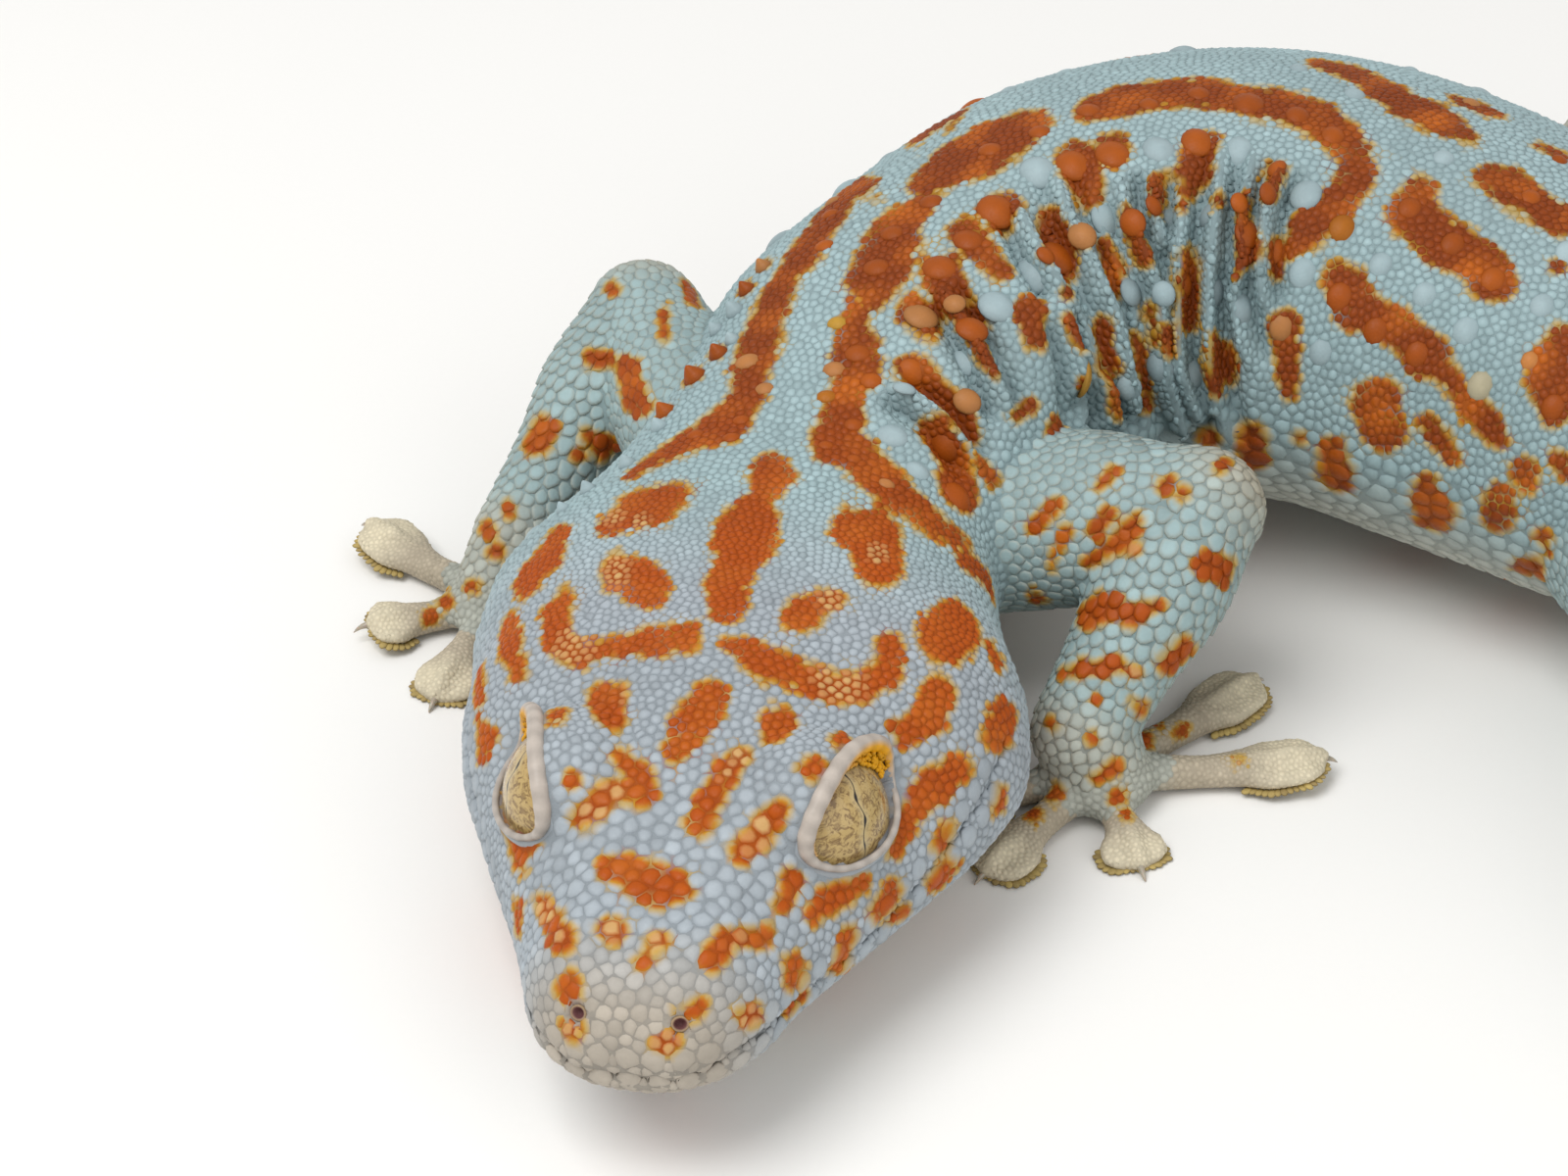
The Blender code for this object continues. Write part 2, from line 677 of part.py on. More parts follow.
def spike(name, root, tip, radius, sides):
    axis = (tip - root).normalized()
    turn = Vector((0, 0, 1)).rotation_difference(axis).to_matrix()
    rings = []
    for along, wide in ((0.0, 1.0), (0.6, 0.7), (1.0, 0.2)):
        ring = []
        for k in range(sides):
            angle = 2 * math.pi * k / sides
            spoke = turn @ Vector((radius * wide * math.cos(angle), radius * wide * math.sin(angle), 0))
            ring.append(root + (tip - root) * along + spoke)
        rings.append(ring)
    return loft(name, rings)


def make_foot(name, clear):
    """Palm or sole with five digits, standing flat on the floor."""
    end = Vector(LIMBS[name][2])
    r_end = LIMBS[name][6]
    tips = DIGITS[name]
    spread = Vector((sum(t[0] for t in tips) / 5, sum(t[1] for t in tips) / 5, 0))
    ankle = Vector((end.x, end.y, 0))
    palm_at = ankle + (spread - ankle) * PALM_REACH
    palm = ball(FEET[name], Vector((0, 0, 0)), 1.0, sides=12, steps=6)
    size = PALM_RADIUS[name.split("_")[0]]
    palm.data.transform(Matrix.Diagonal((size, size, PALM_THICK, 1)))
    palm.data.transform(Matrix.Translation(Vector((palm_at.x, palm_at.y, PALM_HEIGHT)) * MM))
    heel = Vector((palm_at.x, palm_at.y, WRIST_LOW))
    pieces = [bone("wrist", end, heel, [r_end, r_end * 0.95], sides=10)]
    for i, (x, y, lift) in enumerate(tips):
        tip = Vector((x, y, 0))
        base = palm_at + (tip - palm_at).normalized() * TOE_START
        base.z = TOE_START_HEIGHT
        pieces += toe(base, tip, lift, i > 0)
    join_pieces(palm, pieces)
    apply_boolean(palm, clear, "DIFFERENCE")
    apply_boolean(palm, below_floor(), "DIFFERENCE")
    keep_largest(palm)
    return palm


def paint(thing, name, colour, roughness):
    """Gives an object its own material and smooth shading."""
    material = bpy.data.materials.new(name)
    material.use_nodes = True
    shader = material.node_tree.nodes["Principled BSDF"]
    shader.inputs["Base Color"].default_value = (*colour, 1.0)
    shader.inputs["Roughness"].default_value = roughness
    shader.inputs["Metallic"].default_value = 0.0
    thing.data.materials.clear()
    thing.data.materials.append(material)
    thing.data.shade_smooth()
    thing.data.set_sharp_from_angle(angle=math.radians(50))


def centre_on_floor(things):
    """Moves all solids so that the middle of their box stands over the origin."""
    points = [v.co for thing in things for v in thing.data.vertices]
    low = [min(p[i] for p in points) for i in range(3)]
    high = [max(p[i] for p in points) for i in range(3)]
    move = Matrix.Translation((-(low[0] + high[0]) / 2, -(low[1] + high[1]) / 2, -low[2]))
    for thing in things:
        thing.data.transform(move)


def main():
    for thing in list(bpy.data.objects):
        bpy.data.objects.remove(thing)
    things = make_head() + make_eyes() + make_body()
    for name in LIMBS:
        segments, clear = make_limb(name)
        things += segments
        things.append(make_foot(name, clear))
    for thing in things:
        if thing.name.startswith("eye"):
            paint(thing, thing.name + "_iris", IRIS, 0.12)
        elif thing.name.startswith(("hand", "foot")):
            paint(thing, thing.name + "_skin", TOE_SKIN, 0.6)
        else:
            paint(thing, thing.name + "_skin", SKIN, 0.6)
    centre_on_floor(things)


main()
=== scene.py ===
# Tokay gecko, life size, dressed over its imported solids.
# The animal is drawn in millimetres from its snout tip, and moved into the frame at the end.

import json
import math
import time

import bpy
import numpy as np
from mathutils import Matrix, Vector
from mathutils.bvhtree import BVHTree
from mathutils.kdtree import KDTree

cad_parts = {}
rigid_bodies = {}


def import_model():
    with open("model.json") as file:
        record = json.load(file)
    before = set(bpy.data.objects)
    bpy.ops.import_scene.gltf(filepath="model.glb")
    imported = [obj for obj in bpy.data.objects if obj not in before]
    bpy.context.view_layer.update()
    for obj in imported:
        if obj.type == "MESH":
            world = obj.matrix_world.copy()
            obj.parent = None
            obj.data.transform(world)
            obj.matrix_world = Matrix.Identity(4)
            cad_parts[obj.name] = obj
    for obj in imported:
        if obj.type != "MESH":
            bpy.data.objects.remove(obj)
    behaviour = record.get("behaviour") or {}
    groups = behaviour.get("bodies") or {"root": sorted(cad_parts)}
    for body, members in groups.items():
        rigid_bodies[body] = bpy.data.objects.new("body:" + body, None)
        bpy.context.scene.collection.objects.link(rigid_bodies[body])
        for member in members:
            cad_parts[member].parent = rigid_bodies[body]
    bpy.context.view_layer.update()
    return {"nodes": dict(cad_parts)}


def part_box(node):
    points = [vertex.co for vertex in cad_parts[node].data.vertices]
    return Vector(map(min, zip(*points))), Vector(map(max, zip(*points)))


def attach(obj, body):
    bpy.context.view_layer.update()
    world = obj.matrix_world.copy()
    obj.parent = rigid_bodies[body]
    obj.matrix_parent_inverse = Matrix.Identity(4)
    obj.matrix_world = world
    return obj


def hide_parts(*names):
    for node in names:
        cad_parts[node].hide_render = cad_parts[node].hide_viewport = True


startTime = time.time()
for thing in list(bpy.data.objects):
    bpy.data.objects.remove(thing)
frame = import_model()
mm = 0.001                             # the frame is in metres
draw = np.random.default_rng(11)


def report(words):
    print("%s (%.1f s)" % (words, time.time() - startTime))


report("frame loaded")

# How the photograph was taken, read as 1600 x 1200 pixels
photo = {
    "width": 1600,
    "height": 1200,
    "focal": 3800.0,            # pixels
    "tilt": 36.0,               # degrees the view looks down
    "aim": (640, 1095),         # pixel of the snout tip
    "aimDepth": 235.0,          # mm from the lens to the snout tip
    "aimHeight": 10.0,          # mm of the snout tip over the floor
}

# Direction of the spine seen from above: distance from the snout, heading in degrees
headingTable = [
    (0, 77.7), (48, 77.5), (57, 71), (66, 60), (76, 48), (86, 34), (96, 14), (106, -9),
    (116, -31), (124, -42), (134, -43), (144, -36), (154, -32), (171, -40), (206, -60),
    (251, -80), (322, -70),
]

# Cross sections: distance, centre height, half width, up, down, roll, squareness
sectionTable = [
    (0.0, 10.0, 3.4, 2.2, 1.7, 3, 2.3),
    (1.0, 10.0, 5.1, 4.1, 2.6, 3, 2.3),
    (2.5, 10.0, 6.8, 5.6, 3.3, 3, 2.3),
    (5.0, 10.0, 8.3, 7.0, 4.0, 3, 2.3),
    (9.0, 10.0, 9.9, 8.4, 4.9, 3, 2.0),
    (15.0, 10.0, 12.9, 10.3, 5.9, 3, 2.0),
    (21.0, 10.0, 16.0, 12.0, 6.6, 3, 2.0),
    (27.0, 10.0, 18.9, 12.9, 7.1, 3, 2.0),
    (33.0, 10.0, 20.3, 13.2, 7.5, 3, 2.1),
    (39.0, 10.2, 19.4, 13.1, 7.6, 3, 2.2),
    (44.0, 10.5, 17.2, 12.7, 7.5, 3, 2.2),
    (49.0, 11.0, 15.6, 12.4, 7.4, 4, 2.2),
    (54.0, 11.5, 14.8, 12.0, 8.4, 5, 2.3),
    (62.0, 13.0, 16.0, 12.9, 11.2, 8, 2.6),
    (70.0, 15.3, 16.8, 13.9, 13.4, 11, 2.5),
    (80.0, 17.2, 17.9, 14.9, 14.8, 13, 2.2),
    (92.0, 18.2, 20.4, 16.7, 16.2, 13, 2.2),
    (106.0, 18.4, 22.0, 17.5, 16.6, 13, 2.2),
    (121.0, 18.0, 20.9, 16.7, 16.2, 12, 2.2),
    (134.0, 17.0, 17.4, 15.0, 14.8, 9, 2.2),
    (146.0, 15.5, 15.0, 12.6, 12.6, 5, 2.2),
    (156.0, 13.2, 12.0, 10.6, 10.7, 2, 2.1),
    (168.0, 9.8, 9.4, 9.1, 10.1, 0, 2.1),
    (186.0, 8.1, 8.2, 7.9, 8.4, 0, 2.0),
    (211.0, 7.0, 7.1, 6.9, 7.3, 0, 2.0),
    (236.0, 5.9, 6.0, 5.8, 6.2, 0, 2.0),
    (266.0, 4.5, 4.5, 4.4, 4.8, 0, 2.0),
    (296.0, 3.0, 3.0, 2.9, 3.3, 0, 2.0),
    (314.0, 2.0, 1.9, 1.8, 2.3, 0, 2.0),
    (322.0, 1.2, 1.0, 0.9, 1.5, 0, 2.0),
]
bodyLength = 322.0
headEnd = 46.0
tailStart = 160.0

# Line of the mouth: distance from the snout, height over the mouth plane
mouthLine = [
    (-3, -0.6), (0, -0.5), (3, 0.4), (7, 0.2), (13, -0.15), (18, 0.5), (22.5, 1.7), (27, 3.1), (32, 4.2),
]
mouth = {"deep": 0.45, "wide": 0.5, "end": 31.5}

# Shoulder or hip, elbow or knee, wrist or ankle, then radii at root, middle, swelling and end
limbs = {
    "armLeft": [(25.5, 56, 13), (40.4, 51.5, 17.5), (31.4, 40.5, 5.5), 6.8, 4.9, 5.3, 3.9],
    "armRight": [(6, 60, 13), (-1.2, 79.5, 16.5), (-11.0, 64, 6.0), 6.4, 4.9, 5.1, 3.6],
    "legLeft": [(73, 54, 13), (80.5, 29, 16), (78, 8.5, 6.0), 7.4, 5.8, 6.0, 3.8],
    "legRight": [(86, 73, 14), (80, 102.5, 17.5), (92, 116, 6.0), 7.4, 5.8, 6.0, 3.8],
}
# Digit tips on the floor, first digit first: x, y, lift of the tip
toeTips = {
    "armLeft": [(23.0, 38.5, 0), (24.2, 30.6, 0), (35.3, 31.3, 0), (49.7, 42.3, 1.2), (45.7, 52.2, 0.8)],
    "armRight": [(-3.5, 53.5, 0), (-9.0, 49.5, 0), (-16.5, 50.8, 0), (-22.2, 59.0, 1.0),
     (-23.2, 71.6, 1.6)],
    "legLeft": [(70, 2, 0), (69, -5.5, 0), (76.5, -10.5, 0), (87, -9, 0), (93, 4, 0)],
    "legRight": [(84, 124, 0), (83, 133, 0), (92, 137, 0), (102.5, 133.5, 0), (105, 120, 0)],
}
palm = {"armRadius": 4.2, "legRadius": 4.9, "thick": 2.4, "height": 2.1, "reach": 0.35, "heel": 3.0}

eye = {
    "radius": 5.4,
    "centre": (20.0, 7.8, 5.7),        # along the head, to its side, over the mouth
    "axis": (-0.264, 0.826, 0.498),
    "openLong": 4.55,
    "openShort": 2.91,
    "openTilt": -0.6,
    "cornerLift": 1.0,                 # how far the lids stand off the eyeball at the rear corner
    "orbit": 6.15,
    "lidRise": 5.85,
    "socket": 4.7,
}
nostril = {"at": (1.4, 3.35, 3.35), "radius": 0.55, "deep": 1.3}
ear = {"at": 41.0, "angle": 7.0, "wide": 1.1, "tall": 2.3, "deep": 2.0, "far": 4}
skinDepth = 0.25                       # mm the skin lies under the tips of its scales


def hexColour(text):
    parts = [int(text[i:i + 2], 16) / 255 for i in (1, 3, 5)]
    return np.array([c / 12.92 if c <= 0.04045 else ((c + 0.055) / 1.055) ** 2.4 for c in parts])


def smoothCurve(rows, column=1):
    # Monotone curve through one column of a table, for arrays of distances
    xs = np.array([row[0] for row in rows], float)
    ys = np.array([row[column] for row in rows], float)
    steps = np.diff(xs)
    rise = np.diff(ys) / steps
    slopes = np.zeros(len(xs))
    slopes[0] = rise[0]
    for i in range(1, len(xs) - 1):
        if rise[i - 1] * rise[i] > 0:
            slopes[i] = 2 * rise[i - 1] * rise[i] / (rise[i - 1] + rise[i])

    def value(at):
        at = np.clip(at, xs[0], xs[-1])
        k = np.clip(np.searchsorted(xs, at, side="right") - 1, 0, len(xs) - 2)
        u = (at - xs[k]) / steps[k]
        flat = ys[k] * (1 + 2 * u) * (1 - u) ** 2 + ys[k + 1] * u * u * (3 - 2 * u)
        return flat + steps[k] * (slopes[k] * u * (1 - u) ** 2 - slopes[k + 1] * u * u * (1 - u))

    return value


headingAt = smoothCurve(headingTable)
heightAt, widthAt, upAt, downAt, rollAt, squareAt = [smoothCurve(sectionTable, c) for c in range(1, 7)]
# Extra half width of the right side, where the bent neck pushes the jaw muscles out
rightSwell = smoothCurve([
    (0, 0), (33, 0), (37, 1.3), (40, 2.8), (43, 4.4), (46, 5.6), (49, 5.4), (52, 4.2), (55, 2.6), (58, 0.8),
    (62, -0.8), (66, -0.8), (70, 0), (322, 0),
])
mouthAt = smoothCurve(mouthLine)
spineStep = 0.5


def walkSpine():
    angles = np.radians(headingAt((np.arange(int(bodyLength / spineStep) + 20) + 0.5) * spineStep))
    moves = spineStep * np.stack([np.cos(angles), np.sin(angles)], 1)
    return np.vstack([[(0.0, 0.0)], np.cumsum(moves, 0)])


spinePlaces = walkSpine()


def spineFrame(at):
    # Centre, backward, left and up directions of the sections at distances
    at = np.atleast_1d(np.asarray(at, float))
    k = np.clip((at / spineStep).astype(int), 0, len(spinePlaces) - 2)
    u = (at / spineStep - k)[:, None]
    centre = np.column_stack([spinePlaces[k] + u * (spinePlaces[k + 1] - spinePlaces[k]), heightAt(at)])
    angle = np.radians(headingAt(at))
    roll = np.radians(rollAt(at))[:, None]
    none = np.zeros_like(at)
    back = np.column_stack([np.cos(angle), np.sin(angle), none])
    side = np.column_stack([np.sin(angle), -np.cos(angle), none])
    up = np.array([0.0, 0.0, 1.0])
    left = side * np.cos(roll) + up * np.sin(roll)
    top = up * np.cos(roll) - side * np.sin(roll)
    return centre, back, left, top


headOrigin, headBack, headLeft, headTop = [v[0] for v in spineFrame(0.0)]


def headPoint(along, side, height):
    return headOrigin + headBack * along + headLeft * side + headTop * height


def headPlace(points):
    # Distance along the head, to its left side and over its mouth plane
    gap = points - headOrigin
    return gap @ headBack, gap @ headLeft, gap @ headTop


def sectionPoint(at, angle, grow=0.0):
    # Points of the body's surface at distances and angles round the section, in radians
    centre, _, left, top = spineFrame(at)
    square = 2.0 / squareAt(at)
    cos, sin = np.cos(angle), np.sin(angle)
    tall = np.where(sin > 0, upAt(at), downAt(at)) + grow
    side = (widthAt(at) + (cos < 0) * rightSwell(at) + grow) * np.sign(cos) * np.abs(cos) ** square
    rise = tall * np.sign(sin) * np.abs(sin) ** square
    return centre + left * side[:, None] + top * rise[:, None]


def nostrilPlace(sign):
    along, out, height = nostril["at"]
    return headPoint(along, out * sign, height)


def earPlace(sign):
    angle = math.radians(ear["angle"] if sign > 0 else 180 - ear["angle"])
    return sectionPoint(np.array([ear["at"]]), np.array([angle]), -skinDepth)[0]


def earReach(gap):
    # Squared reach against the ear opening's ellipse, 1 at its edge
    return ((gap @ headBack) / ear["wide"]) ** 2 + ((gap @ headTop) / ear["tall"]) ** 2


def unit(vectors):
    return vectors / np.maximum(np.linalg.norm(vectors, axis=-1, keepdims=True), 1e-9)


def loftRings(rings):
    # Closed shell through rings of equal size: points and faces
    rings = np.asarray(rings, float)
    count, sides = rings.shape[:2]
    index = np.arange(count * sides).reshape(count, sides)
    a, b = index[:-1], index[1:]
    quads = np.stack([a, np.roll(a, -1, 1), np.roll(b, -1, 1), b], -1).reshape(-1, 4).tolist()
    return rings.reshape(-1, 3), quads + [index[0][::-1].tolist(), index[-1].tolist()]


def crossDirections(axis):
    helper = np.array([0.0, 0.0, 1.0]) if abs(axis[2]) < 0.9 else np.array([1.0, 0.0, 0.0])
    a = unit(np.cross(helper, axis))
    return a, np.cross(axis, a)


def tubeRings(path, radii, sides=28, ends=True):
    # Round tube along a path, with round ends
    path = np.asarray(path, float)
    axis = unit(np.gradient(path, axis=0))
    rings = []
    turn = np.linspace(0, 2 * np.pi, sides, endpoint=False)
    if ends:
        for bend in (1.35, 0.9, 0.45):
            rings.append((path[0] - axis[0] * radii[0] * math.sin(bend), axis[0], radii[0] * math.cos(bend)))
    rings += list(zip(path, axis, radii))
    if ends:
        for bend in (0.45, 0.9, 1.35):
            rings.append((path[-1] + axis[-1] * radii[-1] * math.sin(bend), axis[-1],
                          radii[-1] * math.cos(bend)))
    made = []
    a = crossDirections(axis[0])[0]
    for centre, direction, radius in rings:
        a = unit(a - direction * (a @ direction))
        b = np.cross(direction, a)
        made.append(centre + radius * (np.cos(turn)[:, None] * a + np.sin(turn)[:, None] * b))
    return made


def ballRings(centre, sizes, sides=32, steps=16):
    # Ellipsoid as rings, its sizes along x, y and z
    made = []
    turn = np.linspace(0, 2 * np.pi, sides, endpoint=False)
    for polar in np.linspace(np.pi - 0.08, 0.08, steps + 1):
        flat = np.stack([np.sin(polar) * np.cos(turn), np.sin(polar) * np.sin(turn),
                         np.full(sides, np.cos(polar))], 1)
        made.append(np.asarray(centre) + flat * np.asarray(sizes))
    return made


def eyeFrame(side):
    # Centre, outward axis, forward and crosswise directions of an eye opening
    along, out, height = eye["centre"]
    centre = headPoint(along, out * side, height)
    a, b, c = eye["axis"]
    axis = unit(headBack * a + headLeft * b * side + headTop * c)
    tilt = math.radians(eye["openTilt"])
    forward = unit(-headBack * math.cos(tilt) - headTop * math.sin(tilt))
    forward = unit(forward - axis * (forward @ axis))
    return centre, axis, forward, np.cross(axis, forward)


def openingReach(gap, forward, across, wider=0.0):
    # Squared reach against the eye opening's ellipse, 1 at its edge
    long, short = eye["openLong"] + wider, eye["openShort"] + wider
    return ((gap @ forward) / long) ** 2 + ((gap @ across) / short) ** 2


def cornerRise(turn, side):
    # How far the lids stand off the eyeball round the opening: most at the rear corner, and above it
    upper = np.clip(0.5 - np.sin(turn) * side - 0.1 * np.cos(turn), 0, 1)
    return eye["cornerLift"] * np.maximum(0, -np.cos(turn)) ** 2 * (0.1 + 0.9 * upper)


def lidPoint(side, angle, reach, wide=1.0, lift=1.0):
    # Points over the edge of the eye opening, on a ball of a given radius round the eye
    centre, axis, forward, across = eyeFrame(side)
    angle = np.atleast_1d(angle)[:, None]
    flat = forward * (eye["openLong"] * wide * np.cos(angle))
    flat = flat + across * (eye["openShort"] * wide * np.sin(angle))
    reach = reach + lift * cornerRise(angle, side)
    depth = np.sqrt(np.maximum(0, reach ** 2 - (flat ** 2).sum(1, keepdims=True)))
    return centre + flat + axis * depth


# Camera of the photograph, as it stood to the animal
tiltAngle = math.radians(photo["tilt"])
viewRight = np.array([1.0, 0.0, 0.0])
viewUp = np.array([0.0, math.sin(tiltAngle), math.cos(tiltAngle)])
viewAhead = np.array([0.0, math.cos(tiltAngle), -math.sin(tiltAngle)])


def pixelRay(x, y):
    across = (np.asarray(x, float) - photo["width"] / 2) / photo["focal"]
    rise = (photo["height"] / 2 - np.asarray(y, float)) / photo["focal"]
    return viewAhead + np.multiply.outer(across, viewRight) + np.multiply.outer(rise, viewUp)


cameraPlace = np.array([0, 0, photo["aimHeight"]]) - pixelRay(*photo["aim"]) * photo["aimDepth"]


# Skin: every part of the flesh as a closed shell, fused by one remesh
toeForm = [                            # share of the toe, half width, half thickness
    (0.0, 1.5, 1.5), (0.35, 1.25, 1.25), (0.55, 1.6, 1.2), (0.72, 2.6, 0.93), (0.86, 2.6, 0.83),
    (0.95, 2.1, 0.68), (1.0, 1.1, 0.4),
]
remesh = {"voxel": 0.42, "ease": 0.5, "rounds": 6, "keep": 0.4}
toe = {"start": 2.0, "startHeight": 0.6, "cup": 0.55, "sink": 0.1, "boneRadius": 0.72, "boneStart": 0.6}


def limbPath(name):
    root, middle, end = [np.array(p, float) for p in limbs[name][:3]]
    return root, middle, end


def palmPlace(name):
    end = limbPath(name)[2]
    spread = np.mean([t[:2] for t in toeTips[name]], axis=0)
    ankle = end[:2]
    return np.append(ankle + (spread - ankle) * palm["reach"], 0.0)


def toeLine(name, digit):
    # Base and tip of one digit on the floor, and the lift of its tip
    x, y, lift = toeTips[name][digit]
    centre = palmPlace(name)
    tip = np.array([x, y, 0.0])
    base = centre + unit(tip - centre) * toe["start"]
    return base, tip, lift


def toeMiddle(base, tip, lift, share, thick):
    rise = lift * np.maximum(0.0, (share - 0.4) / 0.6) ** 1.5
    drop = (1 - share) ** 2 * toe["startHeight"]
    flat = base + (tip - base) * share[:, None]
    return np.column_stack([flat[:, :2], thick - toe["sink"] + rise + drop])


def toeShells(name, digit):
    base, tip, lift = toeLine(name, digit)
    share = np.linspace(0, 1, 26)
    wide, thick = smoothCurve(toeForm, 1)(share), smoothCurve(toeForm, 2)(share)
    middle = toeMiddle(base, tip, lift, share, thick)
    forward = unit(tip - base)
    side = np.array([forward[1], -forward[0], 0.0])
    turn = np.linspace(0, 2 * np.pi, 28, endpoint=False)
    rings = []
    for k in range(len(share)):
        cup = toe["cup"] * np.clip((share[k] - 0.55) / 0.2, 0, 1)
        rise = thick[k] * np.sin(turn) + cup * (np.cos(turn) ** 2 - 0.55) * (np.sin(turn) > -0.2)
        rings.append(middle[k] + np.outer(wide[k] * np.cos(turn), side) + np.outer(rise, (0, 0, 1)))
    shells = [loftRings(rings)]
    if digit:
        along = np.linspace(toe["boneStart"], 1.0, 8)
        path = toeMiddle(base, tip, lift, along, smoothCurve(toeForm, 2)(along))
        path[:, 2] += 0.5 + 0.45 * np.sin(np.linspace(0, 1, 8) * np.pi)
        shells.append(loftRings(tubeRings(path, np.linspace(toe["boneRadius"], 0.48, 8), 16)))
    return shells


def fleshShells():
    shells = []
    at = bodyLength * (np.arange(421) / 420) ** 1.2
    turn = np.linspace(0, 2 * np.pi, 96, endpoint=False)
    rings = [sectionPoint(np.full(96, s), turn, -skinDepth) for s in at]
    shells.append(loftRings(rings))
    for side in (1, -1):
        shells.append(loftRings(ballRings(eyeFrame(side)[0], [eye["orbit"]] * 3)))
    for name in limbs:
        root, middle, end = limbPath(name)
        rRoot, rMiddle, rLow, rEnd = [r - 0.2 for r in limbs[name][3:]]
        share = np.linspace(0, 1, 14)
        upper = smoothCurve([(0, rRoot), (0.5, rRoot * 0.98), (1, rMiddle)])(share)
        lower = smoothCurve([(0, rMiddle * 0.94), (0.33, rLow), (0.67, rEnd * 1.1), (1, rEnd)])(share)
        shells.append(loftRings(tubeRings(root + np.outer(share, middle - root), upper)))
        shells.append(loftRings(tubeRings(middle + np.outer(share, end - middle), lower)))
        centre = palmPlace(name)
        heel = np.array([centre[0], centre[1], palm["heel"]])
        shells.append(loftRings(tubeRings(end + np.outer(share, heel - end), np.full(14, rEnd * 0.96))))
        size = palm[name[:3] + "Radius"]
        lifted = centre + np.array([0, 0, palm["height"]])
        shells.append(loftRings(ballRings(lifted, (size, size, palm["thick"]))))
        for digit in range(5):
            shells += toeShells(name, digit)
    return shells


def readValues(items, word, width, kind=np.float32):
    values = np.empty(len(items) * width, kind)
    items.foreach_get(word, values)
    return values.reshape(-1, width)


def placeOf(mesh):
    return readValues(mesh.vertices, "co", 3, float)


def normalsOf(mesh):
    return readValues(mesh.vertex_normals, "vector", 3).astype(float)


def cornersOf(mesh):
    return readValues(mesh.loops, "vertex_index", 1, np.int32).ravel()


def addObject(name, data):
    thing = bpy.data.objects.new(name, data)
    bpy.context.scene.collection.objects.link(thing)
    return thing


def bakeModifiers(thing):
    graph = bpy.context.evaluated_depsgraph_get()
    mesh = bpy.data.meshes.new_from_object(thing.evaluated_get(graph))
    thing.modifiers.clear()
    thing.data = mesh
    return mesh


def joinShells(shells):
    points, faces = [], []
    for shellPoints, shellFaces in shells:
        faces += [[i + len(points) for i in face] for face in shellFaces]
        points += shellPoints.tolist()
    return points, faces


def fuseShells(shells):
    points, faces = joinShells(shells)
    mesh = bpy.data.meshes.new("skin")
    mesh.from_pydata(points, [], faces)
    thing = addObject("skin", mesh)
    fuse = thing.modifiers.new("fuse", "REMESH")
    fuse.mode = "VOXEL"
    fuse.voxel_size = remesh["voxel"]
    ease = thing.modifiers.new("ease", "SMOOTH")
    ease.factor = remesh["ease"]
    ease.iterations = remesh["rounds"]
    bakeModifiers(thing)
    return thing


def bodyPlace(points):
    # Distance along the spine, angle round it in degrees (0 left, 90 top) and size against the section
    spine = spinePlaces[::2]
    nearest = np.empty(len(points), int)
    batch = 8000                       # points at once, to spare memory
    for i in range(0, len(points), batch):
        gap = points[i:i + batch, None, :2].astype(np.float32) - spine[None].astype(np.float32)
        nearest[i:i + batch] = (gap ** 2).sum(-1).argmin(1)
    at = nearest * spineStep * 2.0
    for _ in range(2):
        centre, back, left, top = spineFrame(at)
        at = np.clip(at + ((points - centre) * back).sum(1), 0, bodyLength)
    centre, back, left, top = spineFrame(at)
    gap = points - centre
    rise = (gap * top).sum(1)
    side = (gap * left).sum(1)
    a = side / (widthAt(at) + (side < 0) * rightSwell(at))
    b = rise / np.where(rise > 0, upAt(at), downAt(at))
    square = squareAt(at)
    size = (np.abs(a) ** square + np.abs(b) ** square) ** (1 / square)
    return at, np.degrees(np.arctan2(b, a)), size, back


def segmentPlace(points, start, end):
    line = end - start
    share = np.clip((points - start) @ line / (line @ line), 0, 1)
    return share, np.linalg.norm(points - start - share[:, None] * line, axis=1)


